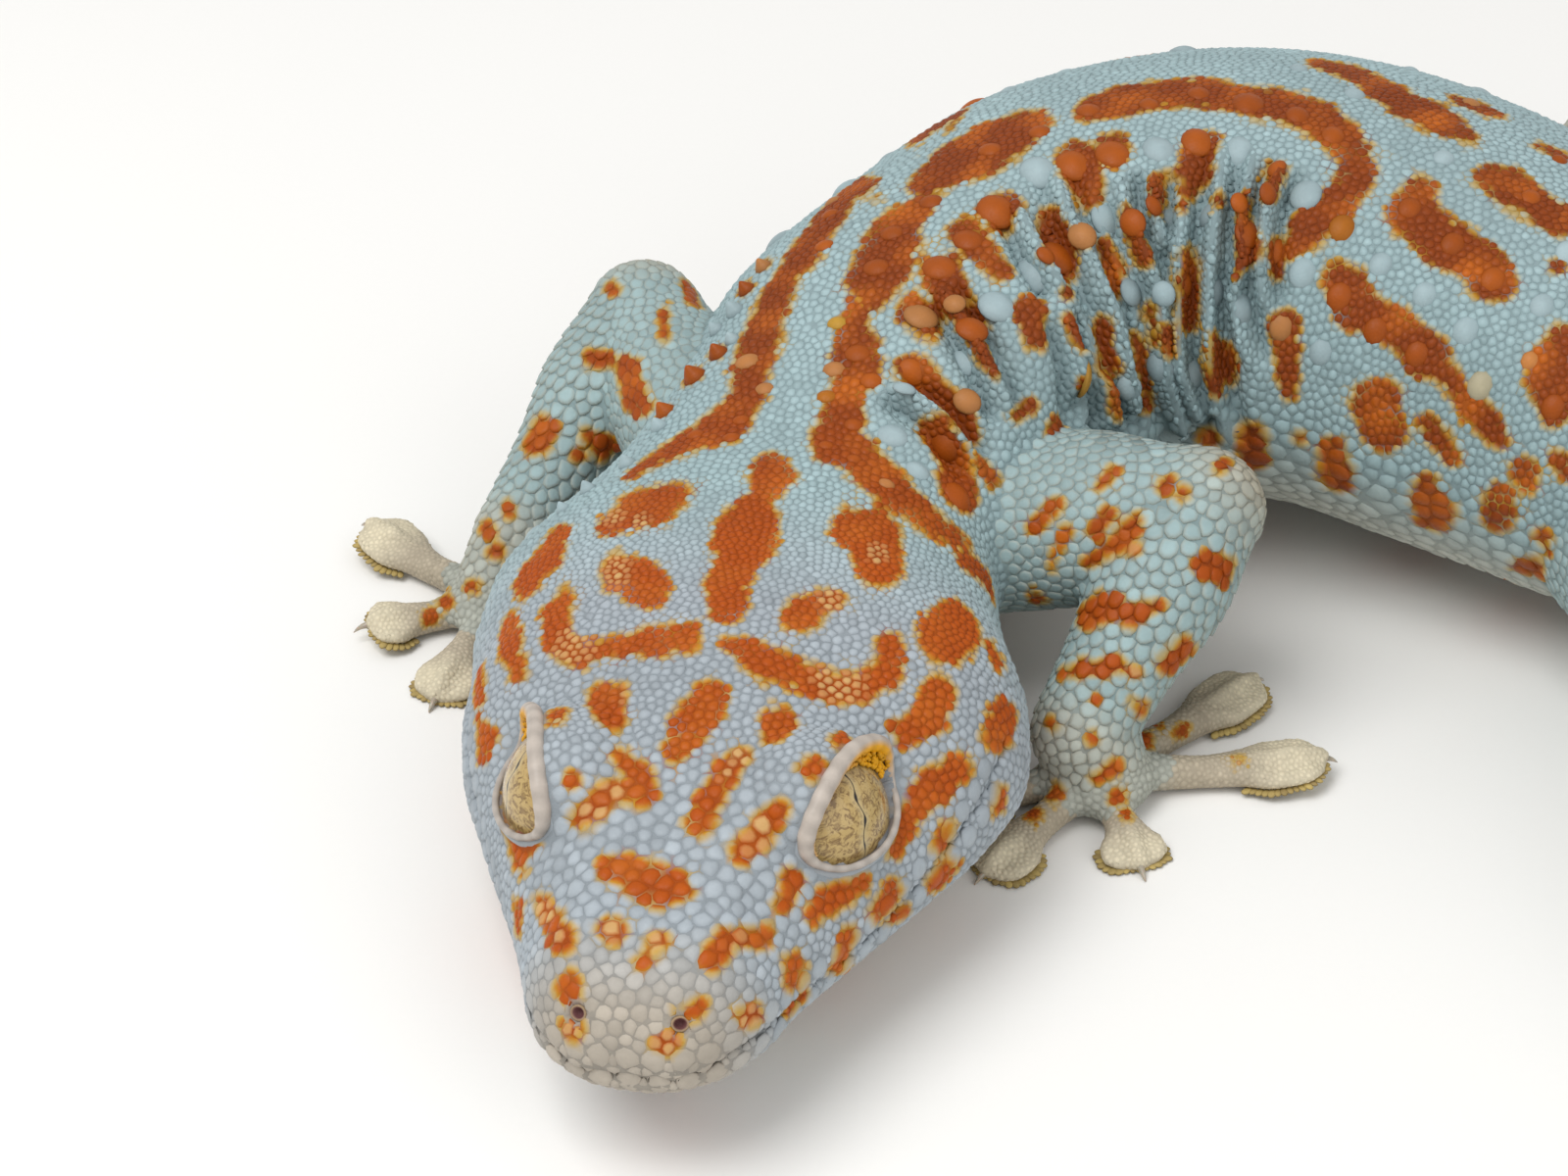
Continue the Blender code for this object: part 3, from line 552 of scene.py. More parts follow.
def describe(points):
    # What each point of the skin belongs to: body 0, limbs 1 to 4, feet 5 to 8
    at, angle, size, back = bodyPlace(points)
    gaps = [(size - 1) * np.minimum(widthAt(at), upAt(at))]
    lies = [back]
    shares = [at / bodyLength]
    digits = np.zeros(len(points), int)
    footGaps, footLies, footShares = [], [], []
    for name in limbs:
        root, middle, end = limbPath(name)
        rRoot, rMiddle, rLow, rEnd = limbs[name][3:]
        upShare, upGap = segmentPlace(points, root, middle)
        lowShare, lowGap = segmentPlace(points, middle, end)
        upGap = upGap - smoothCurve([(0, rRoot), (0.5, rRoot), (1, rMiddle)])(upShare)
        lowGap = lowGap - smoothCurve([(0, rMiddle), (0.33, rLow), (1, rEnd)])(lowShare)
        lower = lowGap < upGap
        gaps.append(np.where(lower, lowGap, upGap))
        lies.append(np.where(lower[:, None], unit(end - middle), unit(middle - root)))
        shares.append(np.where(lower, 0.5 + 0.5 * lowShare, 0.5 * upShare))
        centre = palmPlace(name)
        size = palm[name[:3] + "Radius"]
        flat = (points - centre - [0, 0, palm["height"]]) / [size, size, palm["thick"]]
        best = (np.linalg.norm(flat, axis=1) - 1) * palm["thick"]
        lie = unit(np.append((centre - end)[:2], 0.0)) + np.zeros_like(points)
        share = np.zeros(len(points))
        number = np.full(len(points), -1)
        for digit in range(5):
            base, tip, _ = toeLine(name, digit)
            toeShare, toeGap = segmentPlace(points - [0, 0, 0.8], base, tip)
            toeGap = toeGap - smoothCurve(toeForm, 1)(toeShare) * 0.9
            closer = toeGap < best
            best = np.where(closer, toeGap, best)
            lie = np.where(closer[:, None], unit(tip - base), lie)
            share = np.where(closer, toeShare, share)
            number = np.where(closer, digit, number)
        footGaps.append(best + 0.3)
        footLies.append(lie)
        footShares.append(share)
        digits = np.where(best < 1.5, number, digits)
    gaps, lies, shares = gaps + footGaps, lies + footLies, shares + footShares
    part = np.argmin(np.stack(gaps), axis=0)
    pick = np.arange(len(points))
    return {
        "part": part,
        "at": at,
        "angle": angle,
        "share": np.stack(shares)[part, pick],
        "lie": np.stack(lies)[part, pick],
        "digit": digits,
    }


# Relief of the head: along, to the side, spread along, spread across, height, on both sides alike
headRelief = [
    (14.0, 0.0, 7.0, 3.4, -0.9),       # hollow between the eyes
    (7.0, 4.6, 4.5, 1.5, 0.45),        # ridge from nostril to brow
    (31.0, 15.5, 6.0, 3.5, 0.5),       # jaw muscle
    (29.0, 7.0, 5.0, 2.6, -0.35),      # hollow behind the eye
    (40.0, 0.0, 6.0, 1.6, -0.3),       # line of the nape
    (3.0, 0.0, 2.5, 1.6, -0.35),       # between the nostrils
]

# Crests of the folds in the flank, as pixel places of the photograph
crests = {
    "a": [(1076, 171), (1088, 218), (1105, 247), (1123, 291), (1138, 323), (1149, 373), (1158, 417),
     (1182, 461)],
    "b": [(1143, 177), (1152, 221), (1170, 262), (1184, 297), (1187, 340), (1190, 388), (1208, 441),
     (1222, 470)],
    "c": [(1178, 172), (1178, 215), (1188, 255)],
    "d": [(1205, 168), (1205, 227), (1202, 285), (1202, 338), (1204, 380), (1223, 426), (1255, 467)],
    "e": [(1249, 147), (1246, 197), (1237, 244), (1234, 285), (1234, 329), (1234, 373), (1240, 417),
     (1258, 455)],
    "f": [(1282, 150), (1267, 212), (1270, 262), (1258, 303), (1267, 344), (1278, 378)],
    "g": [(1310, 165), (1292, 212), (1286, 262), (1288, 318)],
    "h": [(1085, 315), (1102, 373), (1114, 440)],
    "i": [(959, 291), (1003, 364), (1032, 428)],
    "j": [(909, 391), (959, 426), (1000, 480)],
    "k": [(1035, 210), (1062, 262), (1085, 300)],
    "l": [(1130, 380), (1138, 430), (1145, 470)],
}
fold = {"height": 1.0, "wide": 0.5, "valley": 1.3, "valleyWide": 0.65, "deep": 1.35}


def foldRelief(points, skinTree):
    # Sharp crests with a valley on both sides, fading out at their ends
    crest, valley = np.zeros(len(points)), np.zeros(len(points))
    for pixels in crests.values():
        path = []
        for x, y in pixels:
            place = skinTree.ray_cast(cameraPlace.tolist(), unit(pixelRay(x, y)).tolist())[0]
            if place is not None:
                path.append(np.array(place))
        low, high = np.min(path, axis=0) - 3.5, np.max(path, axis=0) + 3.5
        close = np.flatnonzero(((points > low) & (points < high)).all(1))
        gap, run = np.full(len(close), 9.0), np.zeros(len(close))
        for k in range(len(path) - 1):
            share, away = segmentPlace(points[close], path[k], path[k + 1])
            run = np.where(away < gap, (k + share) / (len(path) - 1), run)
            gap = np.minimum(away, gap)
        fade = np.clip(np.minimum(run, 1 - run) / 0.16, 0, 1) ** 0.7
        crest[close] = np.maximum(crest[close], np.exp(-(gap / fold["wide"]) ** 2) * fade)
        valley[close] = np.maximum(valley[close],
                                   np.exp(-((gap - fold["valley"]) / fold["valleyWide"]) ** 2) * fade)
    return fold["height"] * crest - fold["deep"] * valley * (1 - crest)


def foldShade(points):
    # Darker down in the creases beside the folds
    return np.clip(-foldRelief(points, surface) / fold["deep"], 0, 1)


# How the head slopes to the lids: from and over what reach against the opening, and mm from the eye's centre
lidSlope = {"from": 1.2, "long": 0.6, "far": 9.5, "pit": 1.2, "pitFar": 9.0}
floorGap = {"skin": 0.06, "pieces": 0.01}    # mm that points stay over the floor


def reshapeSkin(points, normals, info, skinTree):
    along, side, height = headPlace(points)
    body = info["part"] == 0
    head = (along < headEnd + 4) & body
    move = np.zeros(len(points))
    for at, out, spreadAlong, spreadSide, lift in headRelief:
        gap = ((along - at) / spreadAlong) ** 2 + ((np.abs(side) - out) / spreadSide) ** 2
        move += lift * np.exp(-gap) * head * np.clip(normals[:, 2] * 2, 0, 1)
    onMouth = np.clip(1 - np.abs(height - mouthAt(along)) / mouth["wide"], 0, 1) * (along < mouth["end"])
    move -= mouth["deep"] * onMouth * head
    move += foldRelief(points, skinTree) * body
    moved = points + normals * move[:, None]
    for sign in (1, -1):
        centre, axis, forward, across = eyeFrame(sign)
        gap = moved - centre
        reachNow = np.linalg.norm(gap, axis=1)
        flat = openingReach(gap, forward, across)
        # The head slopes down to the lids, and in from them to the eyeball
        slope = np.clip((np.sqrt(flat) - lidSlope["from"]) / lidSlope["long"], 0, 1)
        slope = slope * slope * (3 - 2 * slope)
        rise = eye["lidRise"] + cornerRise(
            np.arctan2((gap @ across) / eye["openShort"], (gap @ forward) / eye["openLong"]), sign)
        around = (slope < 1) & (gap @ axis > 0) & (reachNow > rise) & (reachNow < lidSlope["far"])
        lower = rise + (reachNow - rise) * slope
        moved[around] = centre + gap[around] * (lower / reachNow)[around, None]
        inside = (flat < lidSlope["pit"]) & (gap @ axis > 0) & (reachNow < lidSlope["pitFar"])
        moved[inside] = centre + gap[inside] * (eye["socket"] / reachNow[inside])[:, None]
        gap = np.linalg.norm(moved - nostrilPlace(sign), axis=1)
        sink = nostril["deep"] * np.clip(1.15 - gap / (nostril["radius"] * 1.6), 0, 1) ** 2
        moved -= normals * sink[:, None]
        gap = moved - earPlace(sign)
        nearEar = np.linalg.norm(gap, axis=1) < ear["far"]
        moved -= normals * (ear["deep"] * np.clip(1.2 - earReach(gap), 0, 1) * nearEar)[:, None]
    moved[:, 2] = np.maximum(moved[:, 2], floorGap["skin"])
    return moved


skin = fuseShells(fleshShells())
skinPoints, skinNormals = placeOf(skin.data), normalsOf(skin.data)
skinInfo = describe(skinPoints)
skinPoints = reshapeSkin(skinPoints, skinNormals, skinInfo, BVHTree.FromObject(
    skin, bpy.context.evaluated_depsgraph_get()))
skin.data.vertices.foreach_set("co", skinPoints.ravel())
skin.data.update()
skinNormals = normalsOf(skin.data)
report("skin shaped, %d points" % len(skinPoints))

skinFaces = cornersOf(skin.data).reshape(-1, 4)     # a voxel remesh gives only four-sided faces
surface = BVHTree.FromPolygons(skinPoints.tolist(), skinFaces.tolist())
faceNormals = unit(skinNormals[skinFaces].mean(1))
report("skin surface ready")


def onSkin(points):
    # Nearest places of the skin and its smooth normals there
    places = np.empty_like(points)
    index = np.empty(len(points), int)
    for i, point in enumerate(points.tolist()):
        place, _, index[i], _ = surface.find_nearest(point)
        places[i] = place
    return places, faceNormals[index]


def seenFrom(points, normals):
    # Whether the photograph shows each point of the skin
    gap = points - cameraPlace
    depth = gap @ viewAhead
    x = photo["width"] / 2 + photo["focal"] * (gap @ viewRight) / depth
    y = photo["height"] / 2 - photo["focal"] * (gap @ viewUp) / depth
    seen = (x > 0) & (x < photo["width"]) & (y > 0) & (y < photo["height"]) & ((normals * gap).sum(1) < 0)
    for i in np.flatnonzero(seen):
        start = points[i] + normals[i] * 0.5
        seen[i] = surface.ray_cast(start.tolist(), (cameraPlace - start).tolist())[0] is None
    return seen


# Markings: strokes over the photograph, each point a pixel place and half width in pixels
marks = {
    "occiput": [
        [(787, 486, 24), (778, 508, 13), (770, 530, 24), (760, 550, 34), (752, 575, 22), (741, 600, 20),
         (742, 614, 21)], [(622, 536, 12), (645, 523, 20), (672, 514, 20), (692, 505, 12)],
        [(870, 540, 21), (893, 550, 27), (897, 574, 24)], [(632, 584, 20), (660, 598, 23)],
        [(815, 628, 18), (832, 618, 14), (848, 611, 12)],
        [(572, 545, 11), (556, 570, 19), (535, 598, 14)],
        [(985, 570, 12), (1004, 588, 12), (1012, 606, 8)],
    ],
    "crown": [
        [(578, 610, 9), (566, 630, 14), (572, 655, 16), (590, 668, 13), (618, 660, 9), (645, 657, 11),
         (675, 655, 18), (702, 651, 14)],
        [(738, 653, 5), (757, 663, 12), (782, 677, 17), (815, 690, 15), (846, 702, 15), (878, 702, 16),
         (905, 685, 16), (908, 662, 15)], [(615, 710, 15), (622, 730, 17), (632, 708, 10)],
        [(725, 712, 19), (706, 737, 20), (692, 762, 14)], [(795, 741, 19)], [(829, 783, 13)],
        [(859, 755, 11)], [(567, 729, 10)],
        [(755, 770, 11), (738, 795, 13), (722, 820, 15), (712, 843, 12)],
        [(632, 772, 9), (650, 790, 14), (656, 808, 15), (625, 806, 11), (604, 826, 12), (590, 843, 9)],
        [(584, 797, 10)], [(797, 830, 11), (775, 850, 15), (757, 867, 13)],
    ],
    "cheek": [
        [(971, 643, 31)], [(958, 705, 17), (948, 730, 20), (926, 748, 12), (912, 741, 7)],
        [(1024, 725, 15), (1020, 753, 15)],
        [(975, 785, 17), (955, 803, 21), (936, 822, 14), (922, 846, 10), (912, 870, 9)],
        [(520, 635, 12), (520, 660, 14), (528, 686, 9)], [(490, 685, 9), (490, 712, 9)],
        [(490, 735, 6), (497, 751, 12), (492, 775, 6)],
        [(508, 812, 6), (518, 836, 9), (530, 865, 11), (533, 886, 8)], [(547, 868, 9)],
        [(530, 924, 8), (529, 948, 7)], [(1024, 805, 5), (1018, 825, 6)],
        [(1032, 645, 8), (1035, 665, 9)], [(967, 842, 9), (961, 864, 8)], [(970, 882, 9), (952, 905, 8)],
        [(912, 906, 10), (898, 930, 9)], [(905, 940, 5), (925, 930, 5)], [(866, 955, 8), (853, 985, 9)],
        [(864, 991, 5)], [(800, 1036, 6), (820, 1015, 6)],
        [(832, 930, 12), (850, 915, 13), (877, 903, 10)], [(808, 898, 13), (802, 920, 10)],
    ],
    "snout": [
        [(618, 884, 12), (645, 893, 19), (672, 904, 22), (693, 905, 15)],
        [(552, 922, 9), (565, 940, 12), (572, 960, 12)], [(625, 950, 14)],
        [(672, 963, 12), (655, 984, 7)], [(731, 974, 15), (750, 955, 11), (776, 957, 12)],
        [(810, 984, 12), (808, 1003, 9)], [(712, 1028, 11), (697, 1036, 9)], [(681, 1064, 14)],
        [(580, 1003, 12), (583, 1022, 9)], [(581, 1050, 12)], [(766, 1038, 13)],
    ],
    "neck": [
        [(642, 485, 7), (668, 469, 9), (705, 450, 13), (742, 433, 19), (763, 405, 15), (765, 380, 19),
         (776, 345, 20), (787, 312, 14), (802, 283, 13), (824, 253, 15), (847, 220, 18), (875, 188, 16),
         (905, 160, 15), (940, 138, 14), (975, 118, 13), (1025, 92, 12)],
        [(872, 312, 10), (874, 346, 21), (874, 375, 25), (866, 395, 16), (860, 425, 23), (852, 450, 24),
         (880, 472, 20), (910, 500, 18), (945, 530, 13), (985, 560, 9)],
        [(890, 285, 26), (905, 258, 28), (920, 230, 22), (940, 212, 12)],
        [(943, 188, 15), (975, 165, 24), (1010, 148, 27), (1045, 130, 20), (1062, 122, 11)],
        [(1020, 215, 22)], [(986, 238, 18), (1005, 262, 14), (1022, 275, 10)],
        [(930, 315, 15), (948, 330, 16)],
        [(975, 290, 13), (985, 318, 14), (1000, 350, 13), (1015, 378, 9)],
        [(1050, 315, 17), (1058, 345, 13)], [(1075, 225, 14), (1078, 250, 22), (1085, 275, 16)],
        [(930, 378, 17), (952, 402, 16), (978, 418, 13), (990, 445, 9)],
        [(955, 440, 17), (965, 462, 18), (978, 498, 20), (985, 512, 12)],
        [(1000, 470, 9), (1012, 490, 9)], [(1042, 500, 16)], [(780, 270, 7)], [(760, 295, 10)],
        [(732, 360, 8)], [(706, 384, 11)], [(677, 420, 9)], [(622, 470, 9)],
    ],
    "flank": [
        [(1100, 165, 22), (1108, 192, 16)], [(1135, 152, 17)], [(1180, 185, 10), (1180, 215, 8)],
        [(1226, 148, 17), (1220, 175, 16), (1214, 195, 10)], [(1303, 172, 10), (1292, 195, 8)],
        [(1268, 208, 10), (1266, 238, 14), (1275, 258, 12), (1262, 275, 8)],
        [(1300, 255, 13), (1304, 278, 9)], [(1150, 215, 9), (1158, 240, 12), (1166, 265, 9)],
        [(1128, 252, 9), (1135, 275, 10), (1138, 300, 6)],
        [(1212, 262, 10), (1212, 290, 12), (1212, 325, 12)], [(1095, 325, 9), (1105, 352, 8)],
        [(1125, 330, 9), (1130, 360, 10), (1138, 395, 8), (1140, 425, 6)],
        [(1160, 345, 7), (1168, 385, 8), (1172, 415, 7)], [(1175, 315, 5), (1178, 345, 6)],
        [(1192, 335, 5), (1194, 360, 6)], [(1240, 345, 8), (1248, 370, 17), (1240, 395, 12)],
        [(1310, 330, 15), (1312, 360, 14), (1316, 400, 8)], [(1078, 435, 10), (1078, 460, 9)],
        [(1105, 390, 6), (1110, 450, 7)], [(1275, 445, 14), (1280, 470, 15)], [(1200, 455, 9)],
        [(1235, 450, 11), (1245, 470, 9)], [(1165, 465, 8)], [(1327, 447, 6)],
        [(1052, 415, 8), (1035, 425, 6)], [(1090, 300, 6)],
    ],
    "back": [
        [(1112, 112, 14), (1140, 102, 18), (1180, 96, 17), (1225, 92, 17), (1270, 102, 16),
         (1310, 108, 17), (1350, 122, 18), (1378, 150, 19), (1388, 180, 17), (1360, 212, 20),
         (1335, 232, 18), (1318, 255, 10)], [(1110, 64, 8), (1180, 52, 8), (1290, 47, 8)],
        [(1345, 65, 11), (1375, 72, 15), (1410, 92, 17), (1440, 108, 19), (1475, 125, 17), (1500, 140, 9)],
        [(1380, 53, 9)], [(1490, 103, 9), (1515, 112, 10), (1530, 118, 6)],
        [(1448, 195, 16), (1440, 215, 24), (1470, 245, 24), (1505, 262, 22), (1525, 285, 22)],
        [(1515, 178, 11), (1540, 190, 20), (1565, 205, 16), (1592, 228, 14)],
        [(1572, 148, 5), (1595, 160, 6)],
        [(1370, 285, 19), (1385, 315, 24), (1410, 325, 17), (1435, 340, 18), (1455, 362, 24),
         (1470, 378, 12), (1495, 405, 12), (1515, 430, 16), (1530, 450, 9)],
        [(1404, 412, 25), (1412, 440, 22)], [(1455, 428, 8), (1470, 450, 13), (1480, 465, 8)],
        [(1360, 462, 15), (1362, 485, 19)], [(1455, 505, 16), (1465, 525, 20)],
        [(1530, 510, 16), (1528, 528, 15)], [(1555, 480, 14), (1558, 492, 11)],
        [(1592, 345, 14), (1580, 385, 24), (1588, 410, 22)], [(1592, 470, 12), (1598, 485, 8)],
        [(1588, 273, 7)], [(1575, 545, 6), (1582, 565, 6)], [(1548, 578, 7), (1570, 582, 8)],
        [(1310, 520, 5), (1352, 525, 5)], [(1250, 515, 5)],
    ],
    "leftArm": [
        [(1122, 497, 7), (1134, 481, 7)], [(1189, 495, 10)], [(1207, 504, 6)], [(1247, 474, 7)],
        [(1077, 514, 8), (1058, 537, 9)], [(1133, 522, 7), (1118, 546, 7)],
        [(1087, 543, 6), (1073, 580, 5)], [(1163, 536, 9), (1140, 553, 10), (1114, 573, 8)],
        [(1158, 560, 7)], [(1231, 575, 14), (1249, 583, 15)],
        [(1106, 627, 14), (1135, 620, 16), (1158, 625, 11), (1181, 618, 8)],
        [(1192, 676, 10), (1207, 664, 13)],
        [(1086, 685, 8), (1108, 681, 11), (1135, 680, 12), (1158, 687, 8)], [(1119, 715, 6)],
        [(1164, 724, 8)], [(1072, 738, 8)], [(1116, 751, 7)], [(1166, 753, 10)],
        [(1058, 610, 9), (1063, 640, 11)],
    ],
    "leftHand": [
        [(1205, 744, 8)], [(1184, 740, 5)], [(1205, 767, 11)], [(1264, 776, 7)],
        [(1118, 793, 7), (1136, 783, 8)], [(1140, 814, 9)], [(1149, 830, 7)], [(1076, 811, 9)],
        [(1054, 830, 8)],
    ],
    "rightArm": [
        [(604, 365, 10), (625, 368, 9)], [(640, 372, 12), (645, 395, 13), (652, 415, 12)],
        [(552, 438, 15), (545, 455, 12)], [(615, 455, 14), (600, 445, 9)], [(624, 295, 7)],
        [(678, 318, 6), (678, 340, 6)], [(700, 290, 7), (708, 308, 9)], [(592, 462, 8)],
    ],
    "rightHand": [
        [(471, 548, 9)], [(497, 540, 8)], [(508, 565, 8)], [(478, 597, 8)], [(455, 612, 8)],
        [(440, 630, 8)], [(520, 520, 8)],
    ],
}
# Parts of the marks whose scales have pale tops, as pixel place and half width
paleParts = [
    (625, 582, 20), (848, 612, 15), (590, 655, 22), (572, 672, 14), (860, 700, 26), (840, 690, 14),
    (625, 800, 14), (602, 832, 18), (584, 815, 8), (758, 772, 14), (740, 790, 8), (770, 852, 20),
    (748, 955, 12), (750, 975, 8), (672, 965, 20), (625, 950, 14), (558, 930, 14), (572, 955, 10),
    (681, 1064, 18), (766, 1038, 18), (581, 1052, 14), (625, 525, 14), (655, 532, 10), (895, 565, 12),
    (638, 708, 10), (1158, 682, 12), (1082, 750, 10), (1264, 776, 9), (1158, 560, 8),
]
# Large tubercles: pixel place and half width
knobs = [
    (847, 218, 9), (841, 250, 10), (910, 237, 11), (894, 272, 13), (940, 322, 15), (988, 244, 15),
    (959, 272, 17), (854, 329, 9), (851, 376, 10), (889, 388, 10), (875, 360, 12), (762, 368, 12),
    (756, 428, 8), (746, 446, 9), (709, 443, 9), (673, 464, 7), (871, 433, 9), (843, 454, 7),
    (872, 468, 7), (905, 493, 8), (950, 527, 7), (930, 380, 13), (911, 444, 14), (937, 480, 12),
    (962, 457, 16), (978, 506, 15), (987, 409, 12), (992, 335, 14), (843, 404, 9), (780, 396, 9),
    (982, 370, 14), (1017, 312, 17), (1052, 281, 18), (1079, 262, 17), (1104, 240, 13), (1129, 224, 15),
    (1155, 227, 13), (1193, 221, 10), (1231, 219, 13), (1274, 238, 14), (1302, 256, 12), (1330, 279, 14),
    (1155, 298, 13), (1187, 300, 11), (1211, 291, 11), (1242, 297, 13), (1269, 315, 14), (1308, 335, 12),
    (1183, 376, 14), (1218, 382, 14), (1152, 397, 12), (1224, 95, 12), (1275, 105, 17), (1325, 117, 12),
    (1111, 112, 13), (1173, 106, 11), (1061, 134, 11), (1060, 175, 17), (1010, 152, 12), (1017, 215, 19),
    (1095, 168, 17), (1136, 156, 17), (1183, 152, 16), (1222, 144, 15), (1265, 155, 15), (1302, 171, 10),
    (1332, 198, 15), (1378, 53, 10), (1441, 72, 9), (1502, 105, 10), (1326, 70, 10), (1383, 96, 11),
    (1361, 138, 12), (1370, 233, 14), (1439, 212, 12), (1483, 249, 12), (1524, 285, 12), (1474, 161, 11),
    (1563, 201, 10), (1574, 312, 12), (1409, 270, 12), (1454, 301, 12), (1496, 338, 13), (1367, 303, 13),
    (1404, 338, 12), (1446, 362, 12), (1511, 394, 13), (1348, 360, 13), (1561, 368, 9), (1585, 416, 12),
    (1592, 163, 9), (1230, 47, 9), (1165, 54, 9), (1100, 66, 9), (1030, 92, 10), (975, 112, 10),
    (925, 142, 10), (880, 178, 10), (850, 205, 9), (950, 205, 12), (1120, 60, 7),
]
# Pointed tubercles down the right side of the neck, in the same way
cones = [
    (779, 273, 9), (762, 296, 10), (750, 318, 10), (731, 337, 9), (747, 347, 8), (733, 361, 11),
    (709, 385, 13), (679, 421, 11), (673, 436, 9), (624, 471, 12), (640, 474, 9), (600, 500, 9),
    (575, 520, 8),
]
strokeForm = {"stretch": 1.9, "grow": 1.04}
rim = {"at": 0.05, "half": 0.22, "share": 0.75}     # line round a mark, in mm off its edge
# Parts that the marks of a region may colour, the body alone where it isn't listed
markParts = {"back": [0, 3], "leftArm": [1, 5], "leftHand": [1, 5], "rightArm": [2, 6], "rightHand": [2, 6]}
hiddenMarks = {"tries": 6000, "apart": 9.0, "clear": 4.5, "small": 1.7, "large": 3.1, "stretch": 4.0}
colours = {
    "crown": "#9EA6AC",
    "snout": "#A89F92",
    "trunk": "#9AB0B3",
    "flank": "#8EA5A8",
    "belly": "#B5B8AE",
    "limb": "#93A9AA",
    "elbow": "#AEA48F",
    "toe": "#B5A994",
    "pad": "#D8CDB2",
    "headMark": "#A84A05",
    "bodyMark": "#843A0A",
    "brightMark": "#B45C14",
    "rim": "#B8922A",
    # grey of the painted shade in the bare skin between the scales
    "grooveShade": "#6B7478",
    # dark colour painted into the nostrils and ears as painted shade
    "hole": "#553A3C",
    "paleTop": "#CBA96E",
}
colours = {name: hexColour(text) for name, text in colours.items()}


def castPixel(x, y):
    # Place and normal on the skin that a pixel of the photograph shows, and the size of a pixel there
    ray = unit(pixelRay(x, y))
    place, normal = surface.ray_cast(cameraPlace.tolist(), ray.tolist())[:2]
    if place is None:
        place, normal = surface.find_nearest((cameraPlace + ray * (photo["aimDepth"] + 22)).tolist())[:2]
    place = np.array(place)
    return place, np.array(normal), ((place - cameraPlace) @ viewAhead) / photo["focal"]


def squeeze(place, normal):
    # Shortens lengths that the view shortened, so that a stroke is as wide as the photograph shows it
    view = unit(place - cameraPlace)
    facing = max(abs(view @ normal), 1 / strokeForm["stretch"])
    along = unit(view - normal * (view @ normal))
    return np.eye(3) - (1 - facing) * np.outer(along, along)


def layMarks():
    # Each stroke as balls strung on the skin, with the parts that it may colour
    strokes, parts = [], []
    for region, group in marks.items():
        for stroke in group:
            balls = []
            for x, y, half in stroke:
                place, normal, size = castPixel(x, y)
                balls.append((place, half * size * strokeForm["grow"], squeeze(place, normal)))
            strokes.append(balls)
            parts.append(markParts.get(region, [0]))
    return strokes, parts


def hideMarks(points, seen, part, at):
    # Further blotches where the photograph shows nothing, in loose cross rows
    strokes, parts = [], []
    shown = points[seen]
    tree = KDTree(len(shown))
    for i, point in enumerate(shown.tolist()):
        tree.insert(point, i)
    tree.balance()
    taken = np.empty((0, 3))
    hidden = np.flatnonzero(~seen & (part < 5) & (points[:, 2] > 1.5))
    for i in draw.permutation(hidden)[:hiddenMarks["tries"]]:
        point = points[i]
        if len(taken) and np.linalg.norm(taken - point, axis=1).min() < hiddenMarks["apart"]:
            continue
        if tree.find(point.tolist())[2] < hiddenMarks["clear"]:
            continue
        taken = np.vstack([taken, point])
        size = draw.uniform(hiddenMarks["small"], hiddenMarks["large"]) * (0.75 if part[i] else 1.0)
        if at[i] > tailStart:
            size *= 0.85
        reach = draw.normal(0, 1, 3) * hiddenMarks["stretch"] * (0.35 if part[i] else 1.0)
        ends = [np.array(surface.find_nearest((point + reach * s).tolist())[0]) for s in (-0.5, 0.5)]
        plain = np.eye(3)
        strokes.append([(ends[0], size * 0.8, plain), (point, size, plain), (ends[1], size * 0.75, plain)])
        parts.append([part[i]])
    return strokes, parts


def markReach(points, part, strokes, strokeParts):
    # Distance in mm from the edge of the nearest mark, negative inside one
    reach = np.full(len(points), 50.0)
    order = np.argsort(points[:, 0], kind="stable")
    sortedX = points[order, 0]
    for balls, allowed in zip(strokes, strokeParts):
        middle = np.mean([b[0] for b in balls], axis=0)
        span = max(np.linalg.norm(b[0] - middle) + b[1] * strokeForm["stretch"] for b in balls) + 2.5
        low, high = np.searchsorted(sortedX, [middle[0] - span, middle[0] + span])
        close = order[low:high]
        away = np.abs(points[close] - middle)[:, 1:].max(1)
        close = close[(away < span) & np.isin(part[close], allowed)]
        if not len(close):
            continue
        here = points[close]
        best = reach[close]
        if len(balls) == 1:
            place, wide, form = balls[0]
            best = np.minimum(best, np.linalg.norm((here - place) @ form, axis=1) - wide)
        for (a, wideA, formA), (b, wideB, formB) in zip(balls, balls[1:]):
            form = (formA + formB) / 2
            share, gap = segmentPlace(here @ form, a @ form, b @ form)
            best = np.minimum(best, gap - wideA - (wideB - wideA) * share)
        reach[close] = best
    return reach


def ripple(points, size, seed):
    # Soft random waves, about -1 to 1, that repeat nowhere near
    waves = np.random.default_rng(seed)
    total = np.zeros(len(points))
    for _ in range(7):
        direction = unit(waves.normal(size=3)) * 2 * np.pi / (size * waves.uniform(0.6, 1.5))
        total += np.sin(points @ direction + waves.uniform(0, 6.28))
    return total / 3.2


def mix(a, b, share):
    share = np.asarray(share, float)[..., None]
    return a * (1 - share) + b * share


def soft(value, start, end):
    return np.clip((value - start) / (end - start), 0, 1)


def overSide(angle):
    # Angle over either side alike: 90 on top, 0 at the flank, negative below
    return np.where(np.abs(angle) > 90, 180 - np.abs(angle), np.abs(angle)) * np.sign(angle)


